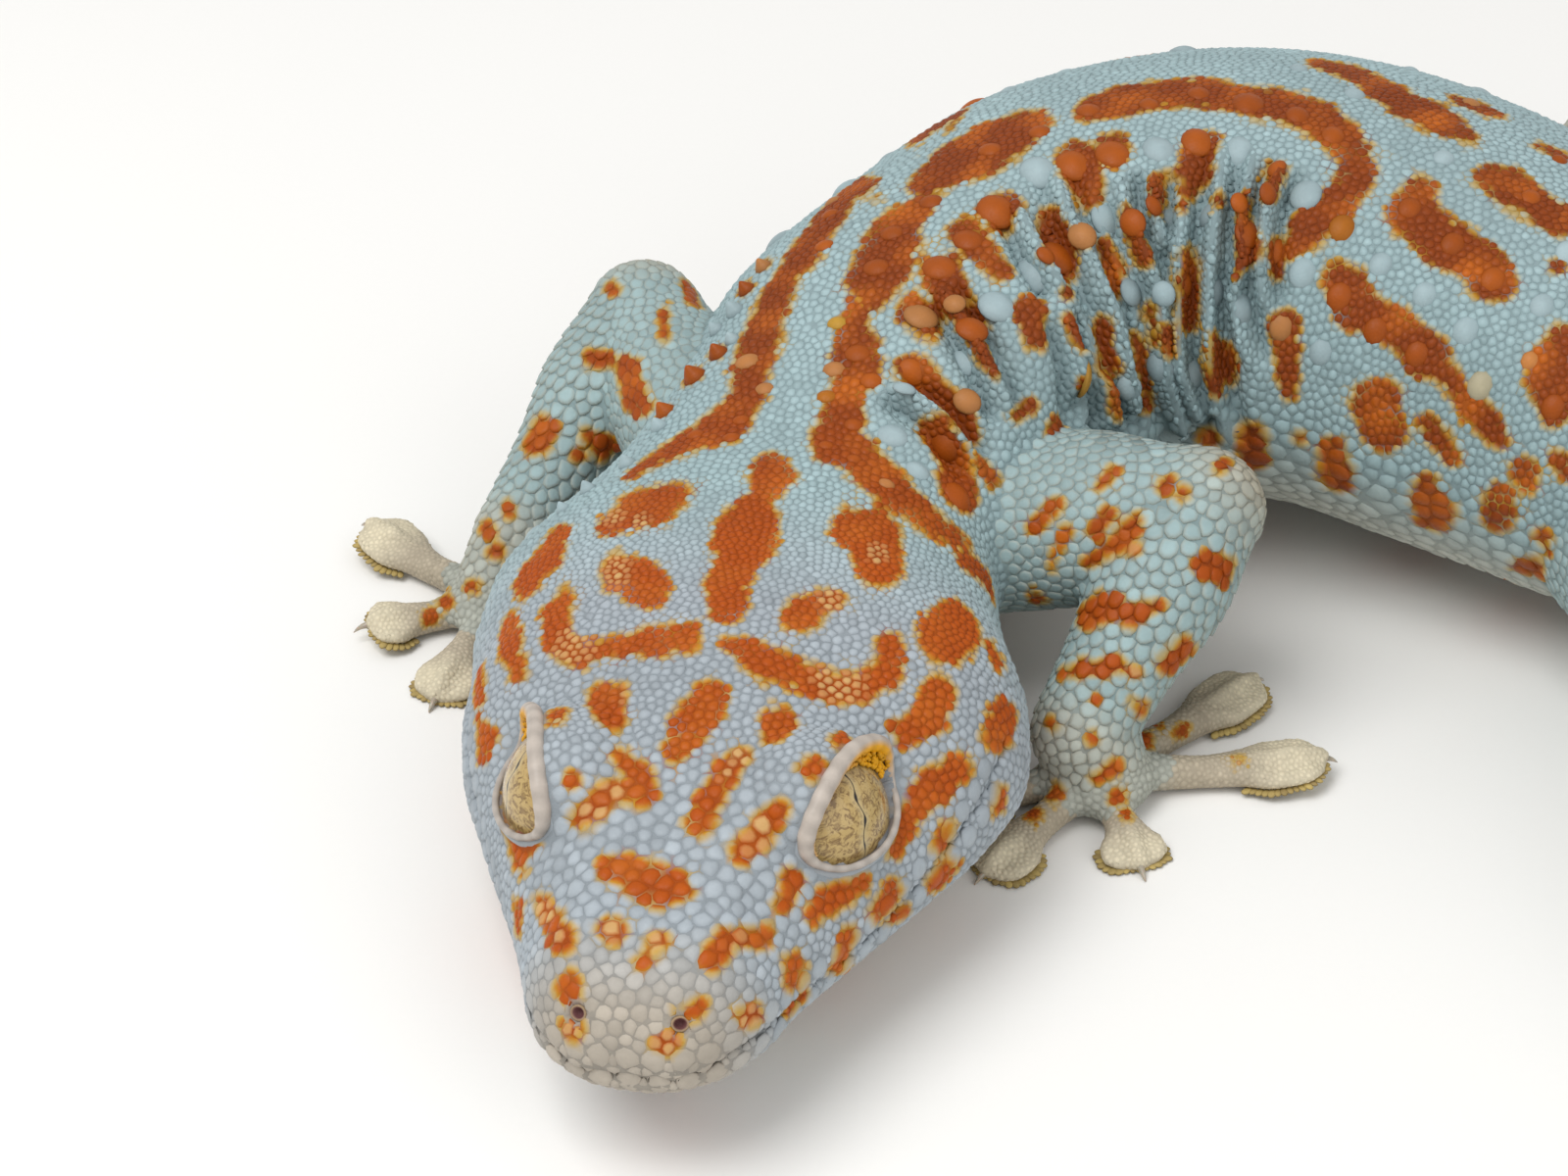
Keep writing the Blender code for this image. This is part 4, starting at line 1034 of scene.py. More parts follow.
def groundColours(points, info):
    # Colour of the animal without its marks
    at, angle, part, share = info["at"], info["angle"], info["part"], info["share"]
    body = part == 0
    colour = mix(colours["snout"] + np.zeros((len(points), 3)), colours["crown"], soft(at, 1.5, 6.5))
    side = overSide(angle)
    colour = mix(colour, colours["trunk"], soft(at, 34, 48))
    colour = mix(colour, colours["flank"], soft(at, 50, 60) * soft(side, 60, 20))
    colour = mix(colour, colours["belly"], soft(side, -18, -45) * soft(at, 6, 16))
    elbow = np.zeros(len(points))
    for name in limbs:
        root, middle, end = limbPath(name)
        away = unit(2 * middle - root - end)
        knob = middle + away * 3.5
        elbow = np.maximum(elbow, soft(np.linalg.norm(points - knob, axis=1), 6.0, 2.0))
    limb = mix(colours["limb"] + np.zeros((len(points), 3)), colours["elbow"], elbow * 0.8)
    limb = mix(limb, colours["toe"], soft(share, 0.93, 1.0) * 0.5)
    colour = np.where(body[:, None], colour, limb)
    foot = colours["limb"] + np.zeros((len(points), 3))
    foot = mix(foot, colours["toe"], 0.55 + 0.45 * soft(share, 0.0, 0.25))
    foot = mix(foot, colours["pad"], soft(share, 0.55, 0.8))
    # painted shade: the feet darker where they come down near the floor
    foot = mix(foot, colours["toe"] * 0.8, soft(points[:, 2], 0.9, 0.3) * 0.5)
    return np.where((part > 4)[:, None], foot, colour)


def markColours(points, info):
    orange = mix(colours["headMark"], colours["bodyMark"],
                 np.clip(soft(info["at"], 40, 62) * np.where(info["part"] > 0, 0.5, 1), 0, 1))
    return mix(orange, colours["brightMark"], soft(ripple(points, 5.0, 5), -0.2, 1.6))


def paintMarks(ground, orange, reach):
    # Orange inside a mark, a thin olive line round it, the ground outside
    colour = np.where((reach < 0)[:, None], orange, ground)
    line = np.clip(1.2 - np.abs(reach - rim["at"]) / rim["half"], 0, 1)
    return mix(colour, colours["rim"], line * rim["share"])


# Lay of the scales: size in mm, length against width, height and tilt for each region
scaleForms = {                        # across, stretch, height, tilt, sharpness
    "snout": (1.2, 1.0, 0.08, 0.0, 2.6),
    "muzzle": (1.25, 1.0, 0.13, 0.0, 2.4),
    "crown": (0.82, 1.0, 0.2, 0.0, 2.2),
    "nape": (0.68, 1.0, 0.2, 0.02, 2.1),
    "cheek": (0.95, 1.0, 0.14, 0.0, 2.4),
    "chin": (1.1, 1.0, 0.12, 0.0, 2.6),
    "back": (0.8, 1.0, 0.16, 0.03, 2.3),
    "flank": (0.86, 0.82, 0.15, 0.02, 2.4),
    "belly": (1.7, 1.1, 0.06, 0.06, 3.2),
    "tail": (1.4, 1.15, 0.08, 0.06, 3.0),
    "limb": (1.1, 1.0, 0.06, 0.1, 3.0),
    "lowerLimb": (1.28, 1.05, 0.05, 0.16, 3.0),
    "palm": (0.7, 1.0, 0.14, 0.03, 2.4),
    "toe": (0.5, 0.85, 0.1, 0.02, 2.4),
}
# How far the scales near eyes and nostrils shrink, and the bare rim round each
bareRim = {"eye": 0.95, "nostril": 0.45, "shrink": 0.3}
spread = {"rounds": 17, "push": 0.36, "near": 9, "cellNear": 14, "vary": 0.1}


def blendForms(weights):
    total = sum(w for _, w in weights)
    forms = sum(np.outer(w, scaleForms[name]) for name, w in weights)
    return forms / np.maximum(total, 1e-6)[:, None]


def formsAt(points, info):
    at, angle, part, share = info["at"], info["angle"], info["part"], info["share"]
    bodyPart = (part == 0) * 1.0
    side = overSide(angle)
    top = np.clip((side - 22) / 20, 0, 1)
    low = np.clip((-side - 8) / 14, 0, 1)
    middle = np.clip(1 - top - low, 0, 1)
    head = np.clip((headEnd + 6 - at) / 8, 0, 1)
    tail = np.clip((at - tailStart + 12) / 16, 0, 1)
    trunk = (1 - head) * (1 - tail)
    snout = np.clip((7 - at) / 4, 0, 1)
    muzzle = np.clip((20 - at) / 5, 0, 1) * (1 - snout)
    nape = np.clip((at - 28) / 10, 0, 1)
    limbPart = ((part > 0) & (part < 5)) * 1.0
    foot = (part > 4) * 1.0
    toes = np.clip((share - 0.1) / 0.3, 0, 1) * (info["digit"] >= 0)
    lower = np.clip((share - 0.42) / 0.15, 0, 1) * np.clip((1.0 - share) / 0.1, 0.3, 1)
    forms = blendForms([
        ("snout", bodyPart * head * top * snout),
        ("muzzle", bodyPart * head * top * muzzle),
        ("crown", bodyPart * head * top * (1 - snout) * (1 - muzzle) * (1 - nape)),
        ("nape", bodyPart * head * top * nape * (1 - snout) * (1 - muzzle)),
        ("cheek", bodyPart * head * middle * (1 - snout)),
        ("snout", bodyPart * head * middle * snout),
        ("chin", bodyPart * head * low),
        ("back", bodyPart * trunk * top),
        ("flank", bodyPart * trunk * middle),
        ("belly", bodyPart * trunk * low),
        ("tail", bodyPart * tail * (1 - head)),
        ("limb", limbPart * (1 - lower) + 1e-4),
        ("lowerLimb", limbPart * lower),
        ("palm", foot * (1 - toes)),
        ("toe", foot * toes),
    ])
    for sign in (1, -1):
        centre, axis = eyeFrame(sign)[:2]
        gap = np.linalg.norm(points - centre - axis * 5, axis=1)
        forms[:, 0] *= 1 - bareRim["shrink"] * np.clip(1 - (gap - 4.5) / 2.5, 0, 1)
        gap = np.linalg.norm(points - nostrilPlace(sign), axis=1)
        forms[:, 0] *= 1 - bareRim["shrink"] * np.clip(1 - (gap - 0.8) / 1.2, 0, 1)
    return forms


def openPlaces(points):
    # Places that carry no scale: eyes, nostrils and ears
    bare = np.zeros(len(points), bool)
    for sign in (1, -1):
        centre, axis, forward, across = eyeFrame(sign)
        gap = points - centre
        bare |= ((openingReach(gap, forward, across, bareRim["eye"]) < 1) & (gap @ axis > 0)
                 & (np.linalg.norm(gap, axis=1) < lidSlope["pitFar"]))
        bare |= np.linalg.norm(points - nostrilPlace(sign), axis=1) < nostril["radius"] + bareRim["nostril"]
        gap = points - earPlace(sign)
        bare |= (earReach(gap) < 0.9) & (np.linalg.norm(gap, axis=1) < ear["far"])
    return bare


def sowScales():
    # Random first places, dense where the scales are small
    facePlaces = skinPoints[skinFaces]
    middles = facePlaces.mean(1)
    a, b = facePlaces[:, 2] - facePlaces[:, 0], facePlaces[:, 3] - facePlaces[:, 1]
    areas = np.linalg.norm(np.cross(a, b), axis=1) / 2
    info = describe(middles)
    forms = formsAt(middles, info)
    ground = middles[:, 2] < 0.25
    crowd = areas / (0.8 * forms[:, 0] ** 2 * forms[:, 1]) * np.where(ground, 0.1, 1)
    count = int(crowd.sum())
    wanted = (np.arange(count) + draw.uniform(0, 1, count)) * crowd.sum() / count
    chosen = np.clip(np.searchsorted(np.cumsum(crowd), wanted), 0, len(middles) - 1)
    u, v = draw.uniform(0, 1, (2, count, 1))
    corner = facePlaces[chosen]
    near, far = corner[:, 0] * (1 - u) + corner[:, 1] * u, corner[:, 3] * (1 - u) + corner[:, 2] * u
    return near * (1 - v) + far * v


def neighbours(points, count):
    tree = KDTree(len(points))
    rows = points.tolist()
    for i, point in enumerate(rows):
        tree.insert(point, i)
    tree.balance()
    find = tree.find_n
    found = [[hit[1] for hit in find(point, count + 1)] for point in rows]
    return np.array(found)[:, 1:]


def localAxes(normals, lies):
    along = unit(lies - normals * (lies * normals).sum(1, keepdims=True))
    return along, np.cross(normals, along)


def relaxScales(points, fixed, fixedSizes):
    # Pushes the scales apart until they sit evenly, the fixed ones staying
    for _ in range(spread["rounds"]):
        points, normals = onSkin(points)
        info = describe(points)
        forms = formsAt(points, info)
        sizes = forms[:, 0] * variety[:len(points)]
        sizes[fixed] = fixedSizes
        along, across = localAxes(normals, info["lie"])
        near = neighbours(points, spread["near"])
        gap = points[:, None] - points[near]
        x = (gap * along[:, None]).sum(-1) / forms[:, 1][:, None]
        y = (gap * across[:, None]).sum(-1)
        distance = np.maximum(np.hypot(x, y), 1e-6)
        target = (sizes[:, None] + sizes[near]) / 2
        push = np.maximum(0, target - distance) * spread["push"]
        push *= (normals[:, None] * normals[near]).sum(-1) > 0.2
        moveX = (x / distance * push).sum(1) * forms[:, 1]
        moveY = (y / distance * push).sum(1)
        move = along * moveX[:, None] + across * moveY[:, None]
        move[fixed] = 0
        points = points + move
    return points


tubercleRows = {                       # start, end, low and high angle, rows, step, width
    "nape": (38, 60, 20, 160, 8, 4.6, 1.75),
    "back": (60, 150, 8, 172, 11, 5.4, 2.5),
    "hips": (150, 176, 25, 155, 6, 5.6, 2.3),
    "tail": (176, 292, 22, 158, 5, 7.0, 2.2),
}
tubercleStir = {"along": 0.8, "turn": 3}             # how far a row's tubercles stray, in mm and degrees
tubercleGaps = {"traced": 1.2, "rows": 3.4, "off": 1.6}     # least mm between two, most mm off the skin


def placeTubercles():
    # Large scales: those that the photograph shows, and staggered rows along the rest of the back
    places, sizes = [], []
    for x, y, half in knobs + cones:
        place, _, size = castPixel(x, y)
        places.append(place)
        sizes.append(2 * half * size)
    traced = len(places)
    tall = np.repeat([0.0, 1.0], [len(knobs), len(cones)])
    for start, end, low, high, rows, step, size in tubercleRows.values():
        for i in range(int((end - start) / step)):
            for row in range(rows):
                share = (row + 0.5 * (i % 2) + 0.25) / (rows - 0.5)
                if share > 1:
                    continue
                at = start + step * (i + 0.5) + draw.uniform(-tubercleStir["along"], tubercleStir["along"])
                stray = draw.uniform(-tubercleStir["turn"], tubercleStir["turn"])
                angle = math.radians(low + (high - low) * share + stray)
                places.append(sectionPoint(np.array([at]), np.array([angle]), -skinDepth)[0])
                sizes.append(size * draw.uniform(0.8, 1.15) * min(1.0, 0.35 + widthAt(at) / 10))
    places, sizes = np.array(places), np.array(sizes)
    tall = np.append(tall, np.zeros(len(places) - traced))
    nearest, normals = onSkin(places)
    keep = np.linalg.norm(nearest - places, axis=1) < tubercleGaps["off"]
    keep &= describe(nearest)["part"] == 0
    keep[traced:] &= ~seenFrom(nearest[traced:], normals[traced:])
    kept = []
    for i in np.flatnonzero(keep):
        apart = tubercleGaps["traced" if i < traced else "rows"]
        if all(np.linalg.norm(nearest[i] - nearest[j]) > apart for j in kept):
            kept.append(i)
    return nearest[kept], sizes[kept], tall[kept] > 0


def castOut(start, direction):
    place = surface.ray_cast((start + direction * 0.01).tolist(), direction.tolist())[0]
    return np.array(place) if place is not None else None


def lipPath(lift):
    # Line round the muzzle from the left corner of the mouth to the right, off the mouth line
    front, corner = lips["front"], lips["corner"]
    rays = [(along, along, headLeft) for along in np.linspace(corner, front, 60)]
    for turn in np.linspace(80, -80, 50):
        way = headLeft * math.sin(math.radians(turn)) - headBack * math.cos(math.radians(turn))
        rays.append((front, lips["tip"], unit(way)))
    rays += [(along, along, -headLeft) for along in np.linspace(front, corner, 60)]
    path = [castOut(headPoint(along, 0, mouthAt(level) + lift), way) for along, level, way in rays]
    return np.array([p for p in path if p is not None])


def alongPath(path, step):
    lengths = np.concatenate([[0], np.cumsum(np.linalg.norm(np.diff(path, axis=0), axis=1))])
    count = int(lengths[-1] / step) | 1
    wanted = (np.arange(count) + 0.5) * lengths[-1] / count
    return np.stack([np.interp(wanted, lengths, path[:, i]) for i in range(3)], 1)


# Lips: rows over and under the mouth line, its corner and front turn, and the plates' steps and size
lips = {"above": 1.0, "below": -0.95, "corner": 29, "front": 4, "tip": 2.0, "step": 1.8, "lowStep": 1.08,
        "size": 1.9, "height": 0.07, "sharpness": 3.4}


def placeLips():
    upper = alongPath(lipPath(lips["above"]), lips["step"])
    lower = alongPath(lipPath(lips["below"]), lips["step"] * lips["lowStep"])
    return np.concatenate([upper, lower])


tubercles, tubercleSizes, tubercleTall = placeTubercles()
lipScales = placeLips()
loose = sowScales()
loose = loose[~openPlaces(loose)]
fixedPlaces = np.concatenate([tubercles, lipScales])
fixedSizes = np.concatenate([tubercleSizes, np.full(len(lipScales), lips["size"])])
scalePoints = np.concatenate([fixedPlaces, loose])
variety = np.clip(draw.normal(1, spread["vary"], len(scalePoints)), 0.7, 1.4)
fixed = np.arange(len(fixedPlaces))
report("%d scales sown" % len(scalePoints))
scalePoints = relaxScales(scalePoints, fixed, fixedSizes)
scalePoints, scaleNormals = onSkin(scalePoints)
keep = ~openPlaces(scalePoints) & (scalePoints[:, 2] > 0.12)
keep[fixed] = True
kind = np.zeros(len(scalePoints), int)               # 0 scale, 1 tubercle, 2 plate of a lip
kind[:len(tubercles)] = 1
kind[len(tubercles):len(fixedPlaces)] = 2
scaleSizes = np.concatenate([fixedSizes, np.zeros(len(loose))])
scalePoints, scaleNormals, kind = scalePoints[keep], scaleNormals[keep], kind[keep]
variety, scaleSizes = variety[keep], scaleSizes[keep]
scaleInfo = describe(scalePoints)
forms = formsAt(scalePoints, scaleInfo)
scaleSizes = np.where(kind > 0, scaleSizes, forms[:, 0] * variety)
forms[kind == 2] = (lips["size"], 1.0, lips["height"], 0.0, lips["sharpness"])
forms[kind == 1, 1] = 1.0
report("scales settled")

# Marks on scales and skin alike
seen = seenFrom(scalePoints, scaleNormals)
strokes, strokeParts = layMarks()
furtherStrokes, furtherParts = hideMarks(scalePoints, seen, scaleInfo["part"], scaleInfo["at"])
strokes += furtherStrokes
strokeParts += furtherParts
scaleReach = markReach(scalePoints, scaleInfo["part"], strokes, strokeParts)
scaleStir = draw.normal(0, 0.13, len(scalePoints))
scaleTonesAndCreaseShade = np.clip(1 + draw.normal(0, 0.05, len(scalePoints)) + 0.05 * ripple(scalePoints, 9, 8), 0.8, 1.2)
# painted shade: scales darker down in the creases of the folds
scaleTonesAndCreaseShade *= 1 - 0.35 * foldShade(scalePoints)
scaleGround = groundColours(scalePoints, scaleInfo) * scaleTonesAndCreaseShade[:, None]
scaleOrange = markColours(scalePoints, scaleInfo) * (0.5 + 0.5 * scaleTonesAndCreaseShade[:, None])
scalePale = np.zeros(len(scalePoints))
for x, y, half in paleParts:
    place, normal, size = castPixel(x, y)
    gap = np.linalg.norm((scalePoints - place) @ squeeze(place, normal), axis=1)
    scalePale = np.maximum(scalePale, soft(gap, half * size * 1.15, half * size * 0.6))
scalePale *= draw.uniform(0.5, 1.0, len(scalePoints))
report("marks laid, %d strokes" % len(strokes))

# The animal is moved so that its left eyeball stands where the solid's does
eyeLow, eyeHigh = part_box("eye_left")
shift = (np.array(eyeLow) + np.array(eyeHigh)) / 2 / mm - eyeFrame(1)[0]


def inFrame(points):
    return (np.asarray(points, float) + shift) * mm


def addNode(tree, kind, settings={}, inputs={}):
    node = tree.nodes.new(kind)
    for name, value in settings.items():
        setattr(node, name, value)
    for name, value in inputs.items():
        socket = node.inputs[name]
        if isinstance(value, bpy.types.NodeSocket):
            tree.links.new(value, socket)
        else:
            socket.default_value = value
    return node


def startMaterial(name):
    material = bpy.data.materials.new(name)
    material.use_nodes = True
    tree = material.node_tree
    tree.nodes.clear()
    return material, tree


def rgba(colour, alpha=1.0):
    return tuple(float(c) for c in colour) + (alpha,)


blendColours = {"data_type": "RGBA"}
multiplyColours = {"data_type": "RGBA", "blend_type": "MULTIPLY"}
keratin = {"mottle": 0.9, "pits": 0.16, "pitDepth": 0.5, "smoother": 0.07, "rougher": 0.1}     # sizes in mm


def keratinMaterial(name, gloss, grain, unevenness):
    # Keratin scale: dry horny skin, satin, with fine pits and a slight change of tone within a scale
    material, tree = startMaterial(name)
    tint = addNode(tree, "ShaderNodeAttribute", {"attribute_name": "scaleColour"}).outputs["Color"]
    place = addNode(tree, "ShaderNodeTexCoord").outputs["Object"]
    mottle = addNode(tree, "ShaderNodeTexNoise", {}, {
        "Vector": place, "Scale": 1 / (keratin["mottle"] * mm), "Detail": 3.0})
    dust = addNode(tree, "ShaderNodeTexNoise", {}, {
        "Vector": place, "Scale": 1 / (keratin["pits"] * mm), "Detail": 2.0})
    tone = addNode(tree, "ShaderNodeMapRange", {}, {
        "Value": mottle.outputs[0], "From Min": 0.3, "From Max": 0.7,
        "To Min": 1 - unevenness, "To Max": 1 + unevenness}).outputs[0]
    grey = addNode(tree, "ShaderNodeCombineColor", {}, {0: tone, 1: tone, 2: tone})
    colour = addNode(tree, "ShaderNodeMix", multiplyColours, {0: 1.0, 6: tint, 7: grey.outputs[0]})
    rough = addNode(tree, "ShaderNodeMapRange", {}, {
        "Value": dust.outputs[0], "From Min": 0.3, "From Max": 0.7,
        "To Min": gloss - keratin["smoother"], "To Max": gloss + keratin["rougher"]})
    bump = addNode(tree, "ShaderNodeBump", {}, {
        "Height": dust.outputs[0], "Strength": keratin["pitDepth"], "Distance": grain * mm})
    shader = addNode(tree, "ShaderNodeBsdfPrincipled", {}, {
        "Base Color": colour.outputs[2], "Roughness": rough.outputs[0], "Normal": bump.outputs[0],
        "IOR": 1.5, "Specular IOR Level": 0.2})
    addNode(tree, "ShaderNodeOutputMaterial", {}, {"Surface": shader.outputs[0]})
    return material


# Each one's roughness, depth of its pits in mm and unevenness of tone
scaleMaterial = keratinMaterial("keratin scale, dry satin", 0.47, 0.05, 0.06)
toeMaterial = keratinMaterial("pad skin, soft matt", 0.6, 0.05, 0.08)
skinMaterial = keratinMaterial("bare skin between scales, matt", 0.62, 0.08, 0.1)
lidMaterial = keratinMaterial("lid skin, moist satin", 0.38, 0.03, 0.08)


pieces = []


def paintMesh(mesh, tints, places, corners):
    tint = mesh.attributes.new("scaleColour", "FLOAT_COLOR", "POINT")
    tint.data.foreach_set("color", np.column_stack([tints, np.ones(len(tints))]).astype(np.float32).ravel())
    sheet = mesh.uv_layers.new(name="OFBake")
    sheet.uv.foreach_set("vector", places[corners].astype(np.float32).ravel())


def makePiece(name, points, corners, sizes, tints, places, material, slot="skin"):
    # Mesh object from arrays, its points in mm
    mesh = bpy.data.meshes.new(name)
    points[:, 2] = np.maximum(points[:, 2], floorGap["pieces"])
    mesh.vertices.add(len(points))
    mesh.vertices.foreach_set("co", inFrame(points).ravel())
    mesh.loops.add(len(corners))
    mesh.loops.foreach_set("vertex_index", corners.astype(np.int32))
    mesh.polygons.add(len(sizes))
    starts = np.concatenate([[0], np.cumsum(sizes)[:-1]])
    mesh.polygons.foreach_set("loop_start", starts.astype(np.int32))
    mesh.polygons.foreach_set("use_smooth", np.ones(len(sizes), bool))
    mesh.update(calc_edges=True)
    mesh.validate()
    paintMesh(mesh, tints, places, corners)
    mesh.materials.append(material)
    thing = addObject(name, mesh)
    pieces.append((thing, slot))
    return thing


def sheetPlaces(points, normals, info):
    # Place of each point on a flat unwrap of the skin: body, limbs in strips, feet in fields
    part = info["part"]
    u = info["at"] / bodyLength * 0.98 + 0.01
    v = (info["angle"] + 180) / 360 * 0.68 + 0.005
    for i, name in enumerate(limbs):
        root, _, end = limbPath(name)
        share, _ = segmentPlace(points, root, end)
        a, b = crossDirections(unit(end - root))
        gap = points - (root + share[:, None] * (end - root))
        turn = np.arctan2(gap @ b, gap @ a) / (2 * np.pi) + 0.5
        u = np.where(part == i + 1, 0.25 * i + 0.005 + 0.24 * info["share"], u)
        v = np.where(part == i + 1, 0.70 + 0.11 * turn, v)
        gap = points - palmPlace(name)
        u = np.where(part == i + 5, 0.25 * i + 0.125 + gap[:, 0] / 200, u)
        under = (normals[:, 2] < 0) * 0.09
        v = np.where(part == i + 5, 0.866 + gap[:, 1] / 480 + under, v)
    return np.column_stack([np.clip(u, 0.003, 0.997), np.clip(v, 0.003, 0.997)])


scaleSheet = sheetPlaces(scalePoints, scaleNormals, scaleInfo)
patch = 0.0014                         # half width of a scale's patch on the sheet
# Overlap of the scales' edges, mm that middles and edges sink, and the share that a smooth snout spares
scaleFit = {"overlap": 1.02, "sunk": 0.02, "edgeSunk": 0.05, "snoutSpare": 0.6}
# Brightness at a scale's edge and top, which paints shade in the grooves and a highlight on the tops, the
# limbs' pale edges, and mm that the marks' edges waver
tones = {"grooveShade": 0.8, "snoutGrooveShade": 0.97, "pad": 0.66, "mark": 0.86, "top": 1.04, "limbEdge": 1.15,
         "waver": 0.2}


def dressScales(name, chosen, layout, levels, material=scaleMaterial, slot="skin"):
    # One joined mesh of domed scales, each closed below
    along, across, radius, flatCos, flatSin, turn = layout
    sides = len(turn)
    count = len(chosen)
    centre, normal = scalePoints[chosen], scaleNormals[chosen]
    x = radius[chosen] * flatCos[chosen]
    y = radius[chosen] * flatSin
    tilt = (forms[chosen, 3] * scaleSizes[chosen])[:, None]
    x = x * (1 + np.clip(np.cos(turn), 0, 1) * np.clip(forms[chosen, 3] * 1.5, 0, 0.2)[:, None])
    flat = along[chosen][:, None] * x[..., None] + across[chosen][:, None] * y[..., None]
    edge, _ = onSkin((centre[:, None] + flat).reshape(-1, 3))
    drop = edge.reshape(count, sides, 3) - centre[:, None]
    rise = (drop * normal[:, None]).sum(-1)
    tall = (forms[chosen, 2] * scaleSizes[chosen] * scaleHeights[chosen])[:, None]
    sharp = forms[chosen, 4][:, None]
    rings, patches = [], []
    for level in levels:
        lift = rise * level ** 2 - scaleFit["sunk"]
        if level == 1.0:
            onSnout = soft(scaleInfo["at"][chosen], 9, 3) * (scaleInfo["part"][chosen] == 0)
            spare = 1 - scaleFit["snoutSpare"] * onSnout
            lift = lift - (scaleFit["edgeSunk"] * np.minimum(scaleSizes[chosen], 1.2) * spare)[:, None]
        else:
            lift = lift + tall * (1 - level ** sharp) + tilt * (0.35 + 0.65 * level * np.cos(turn))
        reach = flat * level * scaleFit["overlap"]
        rings.append(centre[:, None] + reach + normal[:, None] * lift[..., None])
        patches.append(np.column_stack([np.cos(turn), np.sin(turn)]) * level * patch)
    peak = centre + normal * (tall + tilt * 0.35 - scaleFit["sunk"])
    points = np.concatenate([np.concatenate(rings, axis=1), peak[:, None]], axis=1)
    spot = np.vstack([np.concatenate(patches), [[0, 0]]])
    level = np.append(np.repeat(levels, sides), 0.0)
    size = len(levels) * sides + 1
    corners, sizes = [list(range(sides))[::-1]], [sides]
    for ring in range(len(levels) - 1):
        a, b = ring * sides, (ring + 1) * sides
        for k in range(sides):
            n = (k + 1) % sides
            corners.append([a + k, a + n, b + n, b + k])
            sizes.append(4)
    top = (len(levels) - 1) * sides
    for k in range(sides):
        corners.append([top + k, top + (k + 1) % sides, size - 1])
        sizes.append(3)
    corners = np.array([c for face in corners for c in face])
    allCorners = (corners[None] + np.arange(count)[:, None] * size).ravel()
    colour = scaleTints(chosen, points, level)
    place = scaleSheet[chosen][:, None] + spot[None]
    makePiece(name, points.reshape(-1, 3), allCorners, np.tile(sizes, count), colour.reshape(-1, 3),
              place.reshape(-1, 2), material, slot)
    return count * (sum(sizes) - 2 * len(sizes))


def scaleTints(chosen, points, level):
    # Colour at each point of each scale: painted shade at its edge and a painted highlight on its top, with
    # the marks cutting across it
    size = points.shape[1]
    reach = np.repeat(scaleReach[chosen, None], size, 1)
    near = np.flatnonzero(np.abs(scaleReach[chosen]) < 2.5)
    if len(near):
        flat = points[near].reshape(-1, 3)
        part = np.repeat(scaleInfo["part"][chosen[near]], size)
        exact = markReach(flat, part, strokes, strokeParts) + tones["waver"] * ripple(flat, 2.6, 3)
        reach[near] = exact.reshape(-1, size) * 0.7 + reach[near] * 0.3 + scaleStir[chosen[near], None]
    top = (1 - level ** 4)[None, :, None]
    at, part = scaleInfo["at"][chosen], scaleInfo["part"][chosen]
    # painted shade: each scale darker towards its edge, less on the snout, more on the pads
    low = tones["grooveShade"] + (tones["snoutGrooveShade"] - tones["grooveShade"]) * soft(at, 11, 3) * (part == 0)
    low = np.where((part > 4) & (scaleInfo["share"][chosen] > 0.3), tones["pad"], low)[:, None, None]
    ground = scaleGround[chosen][:, None] * (low + (tones["top"] - low) * top)
    limbEdge = soft(level, 0.8, 0.95)[None] * ((part > 0) & (part < 5))[:, None]
    ground = mix(ground, colours["elbow"] * tones["limbEdge"], limbEdge * 0.55)
    # the marks too get painted shade at the edge and a painted highlight on the top
    orange = scaleOrange[chosen][:, None] * (tones["mark"] + (tones["top"] - tones["mark"]) * top)
    orange = mix(orange, colours["paleTop"], scalePale[chosen][:, None] * soft(level, 0.95, 0.6) * 0.85)
    return paintMarks(ground.reshape(-1, 3), orange.reshape(-1, 3), reach.ravel())


scaleHeights = np.random.default_rng(21).uniform(0.85, 1.15, len(scalePoints))
fineLevels = np.array([1.0, 0.86, 0.5])
coarseLevels = np.array([1.0, 0.78])
bodyGroups = [                         # piece, first and last distance along the spine
    ("scales_snout", -1, 18), ("scales_crown", 18, 27), ("scales_occiput", 27, 35), ("scales_nape", 35, 44),
    ("scales_neck", 44, 56), ("scales_shoulders", 56, 70), ("scales_back_front", 70, 88),
    ("scales_back_middle", 88, 106), ("scales_back_rear", 106, 124), ("scales_loin", 124, 142),
    ("scales_hips", 142, 170), ("scales_tail", 170, 330),
]


def dressAll():
    fine, coarse, fewer = [cellLayout(sides) for sides in (9, 8, 7)]
    part, at, angle = scaleInfo["part"], scaleInfo["at"], scaleInfo["angle"]
    under = (angle < -25) & (angle > -155) & (at > 50) & (part == 0)
    total = 0
    for name, start, end in bodyGroups:
        here = (part == 0) & (at >= start) & (at < end) & (kind != 1)
        if start < 44:
            total += dressScales(name, np.flatnonzero(here), fine, fineLevels)
            continue
        rough = start >= 170
        total += dressScales(name, np.flatnonzero(here & ~under), fewer if rough else coarse, coarseLevels)
        if (here & under).any():
            total += dressScales(name + "_low", np.flatnonzero(here & under), fewer, coarseLevels)
    for i, name in enumerate(limbs):
        front = name.startswith("arm")
        word = name[:3].lower() + "_" + name[3:].lower()
        total += dressScales("scales_" + word, np.flatnonzero(part == i + 1), fine if front else coarse,
                             fineLevels if front else coarseLevels)
        foot = "scales_" + ("hand_" if front else "foot_") + name[3:].lower()
        total += dressScales(foot, np.flatnonzero(part == i + 5), coarse if front else fewer,
                             coarseLevels, toeMaterial, "toe_skin")
    report("%d scales dressed, %d triangles" % (len(scalePoints), total))


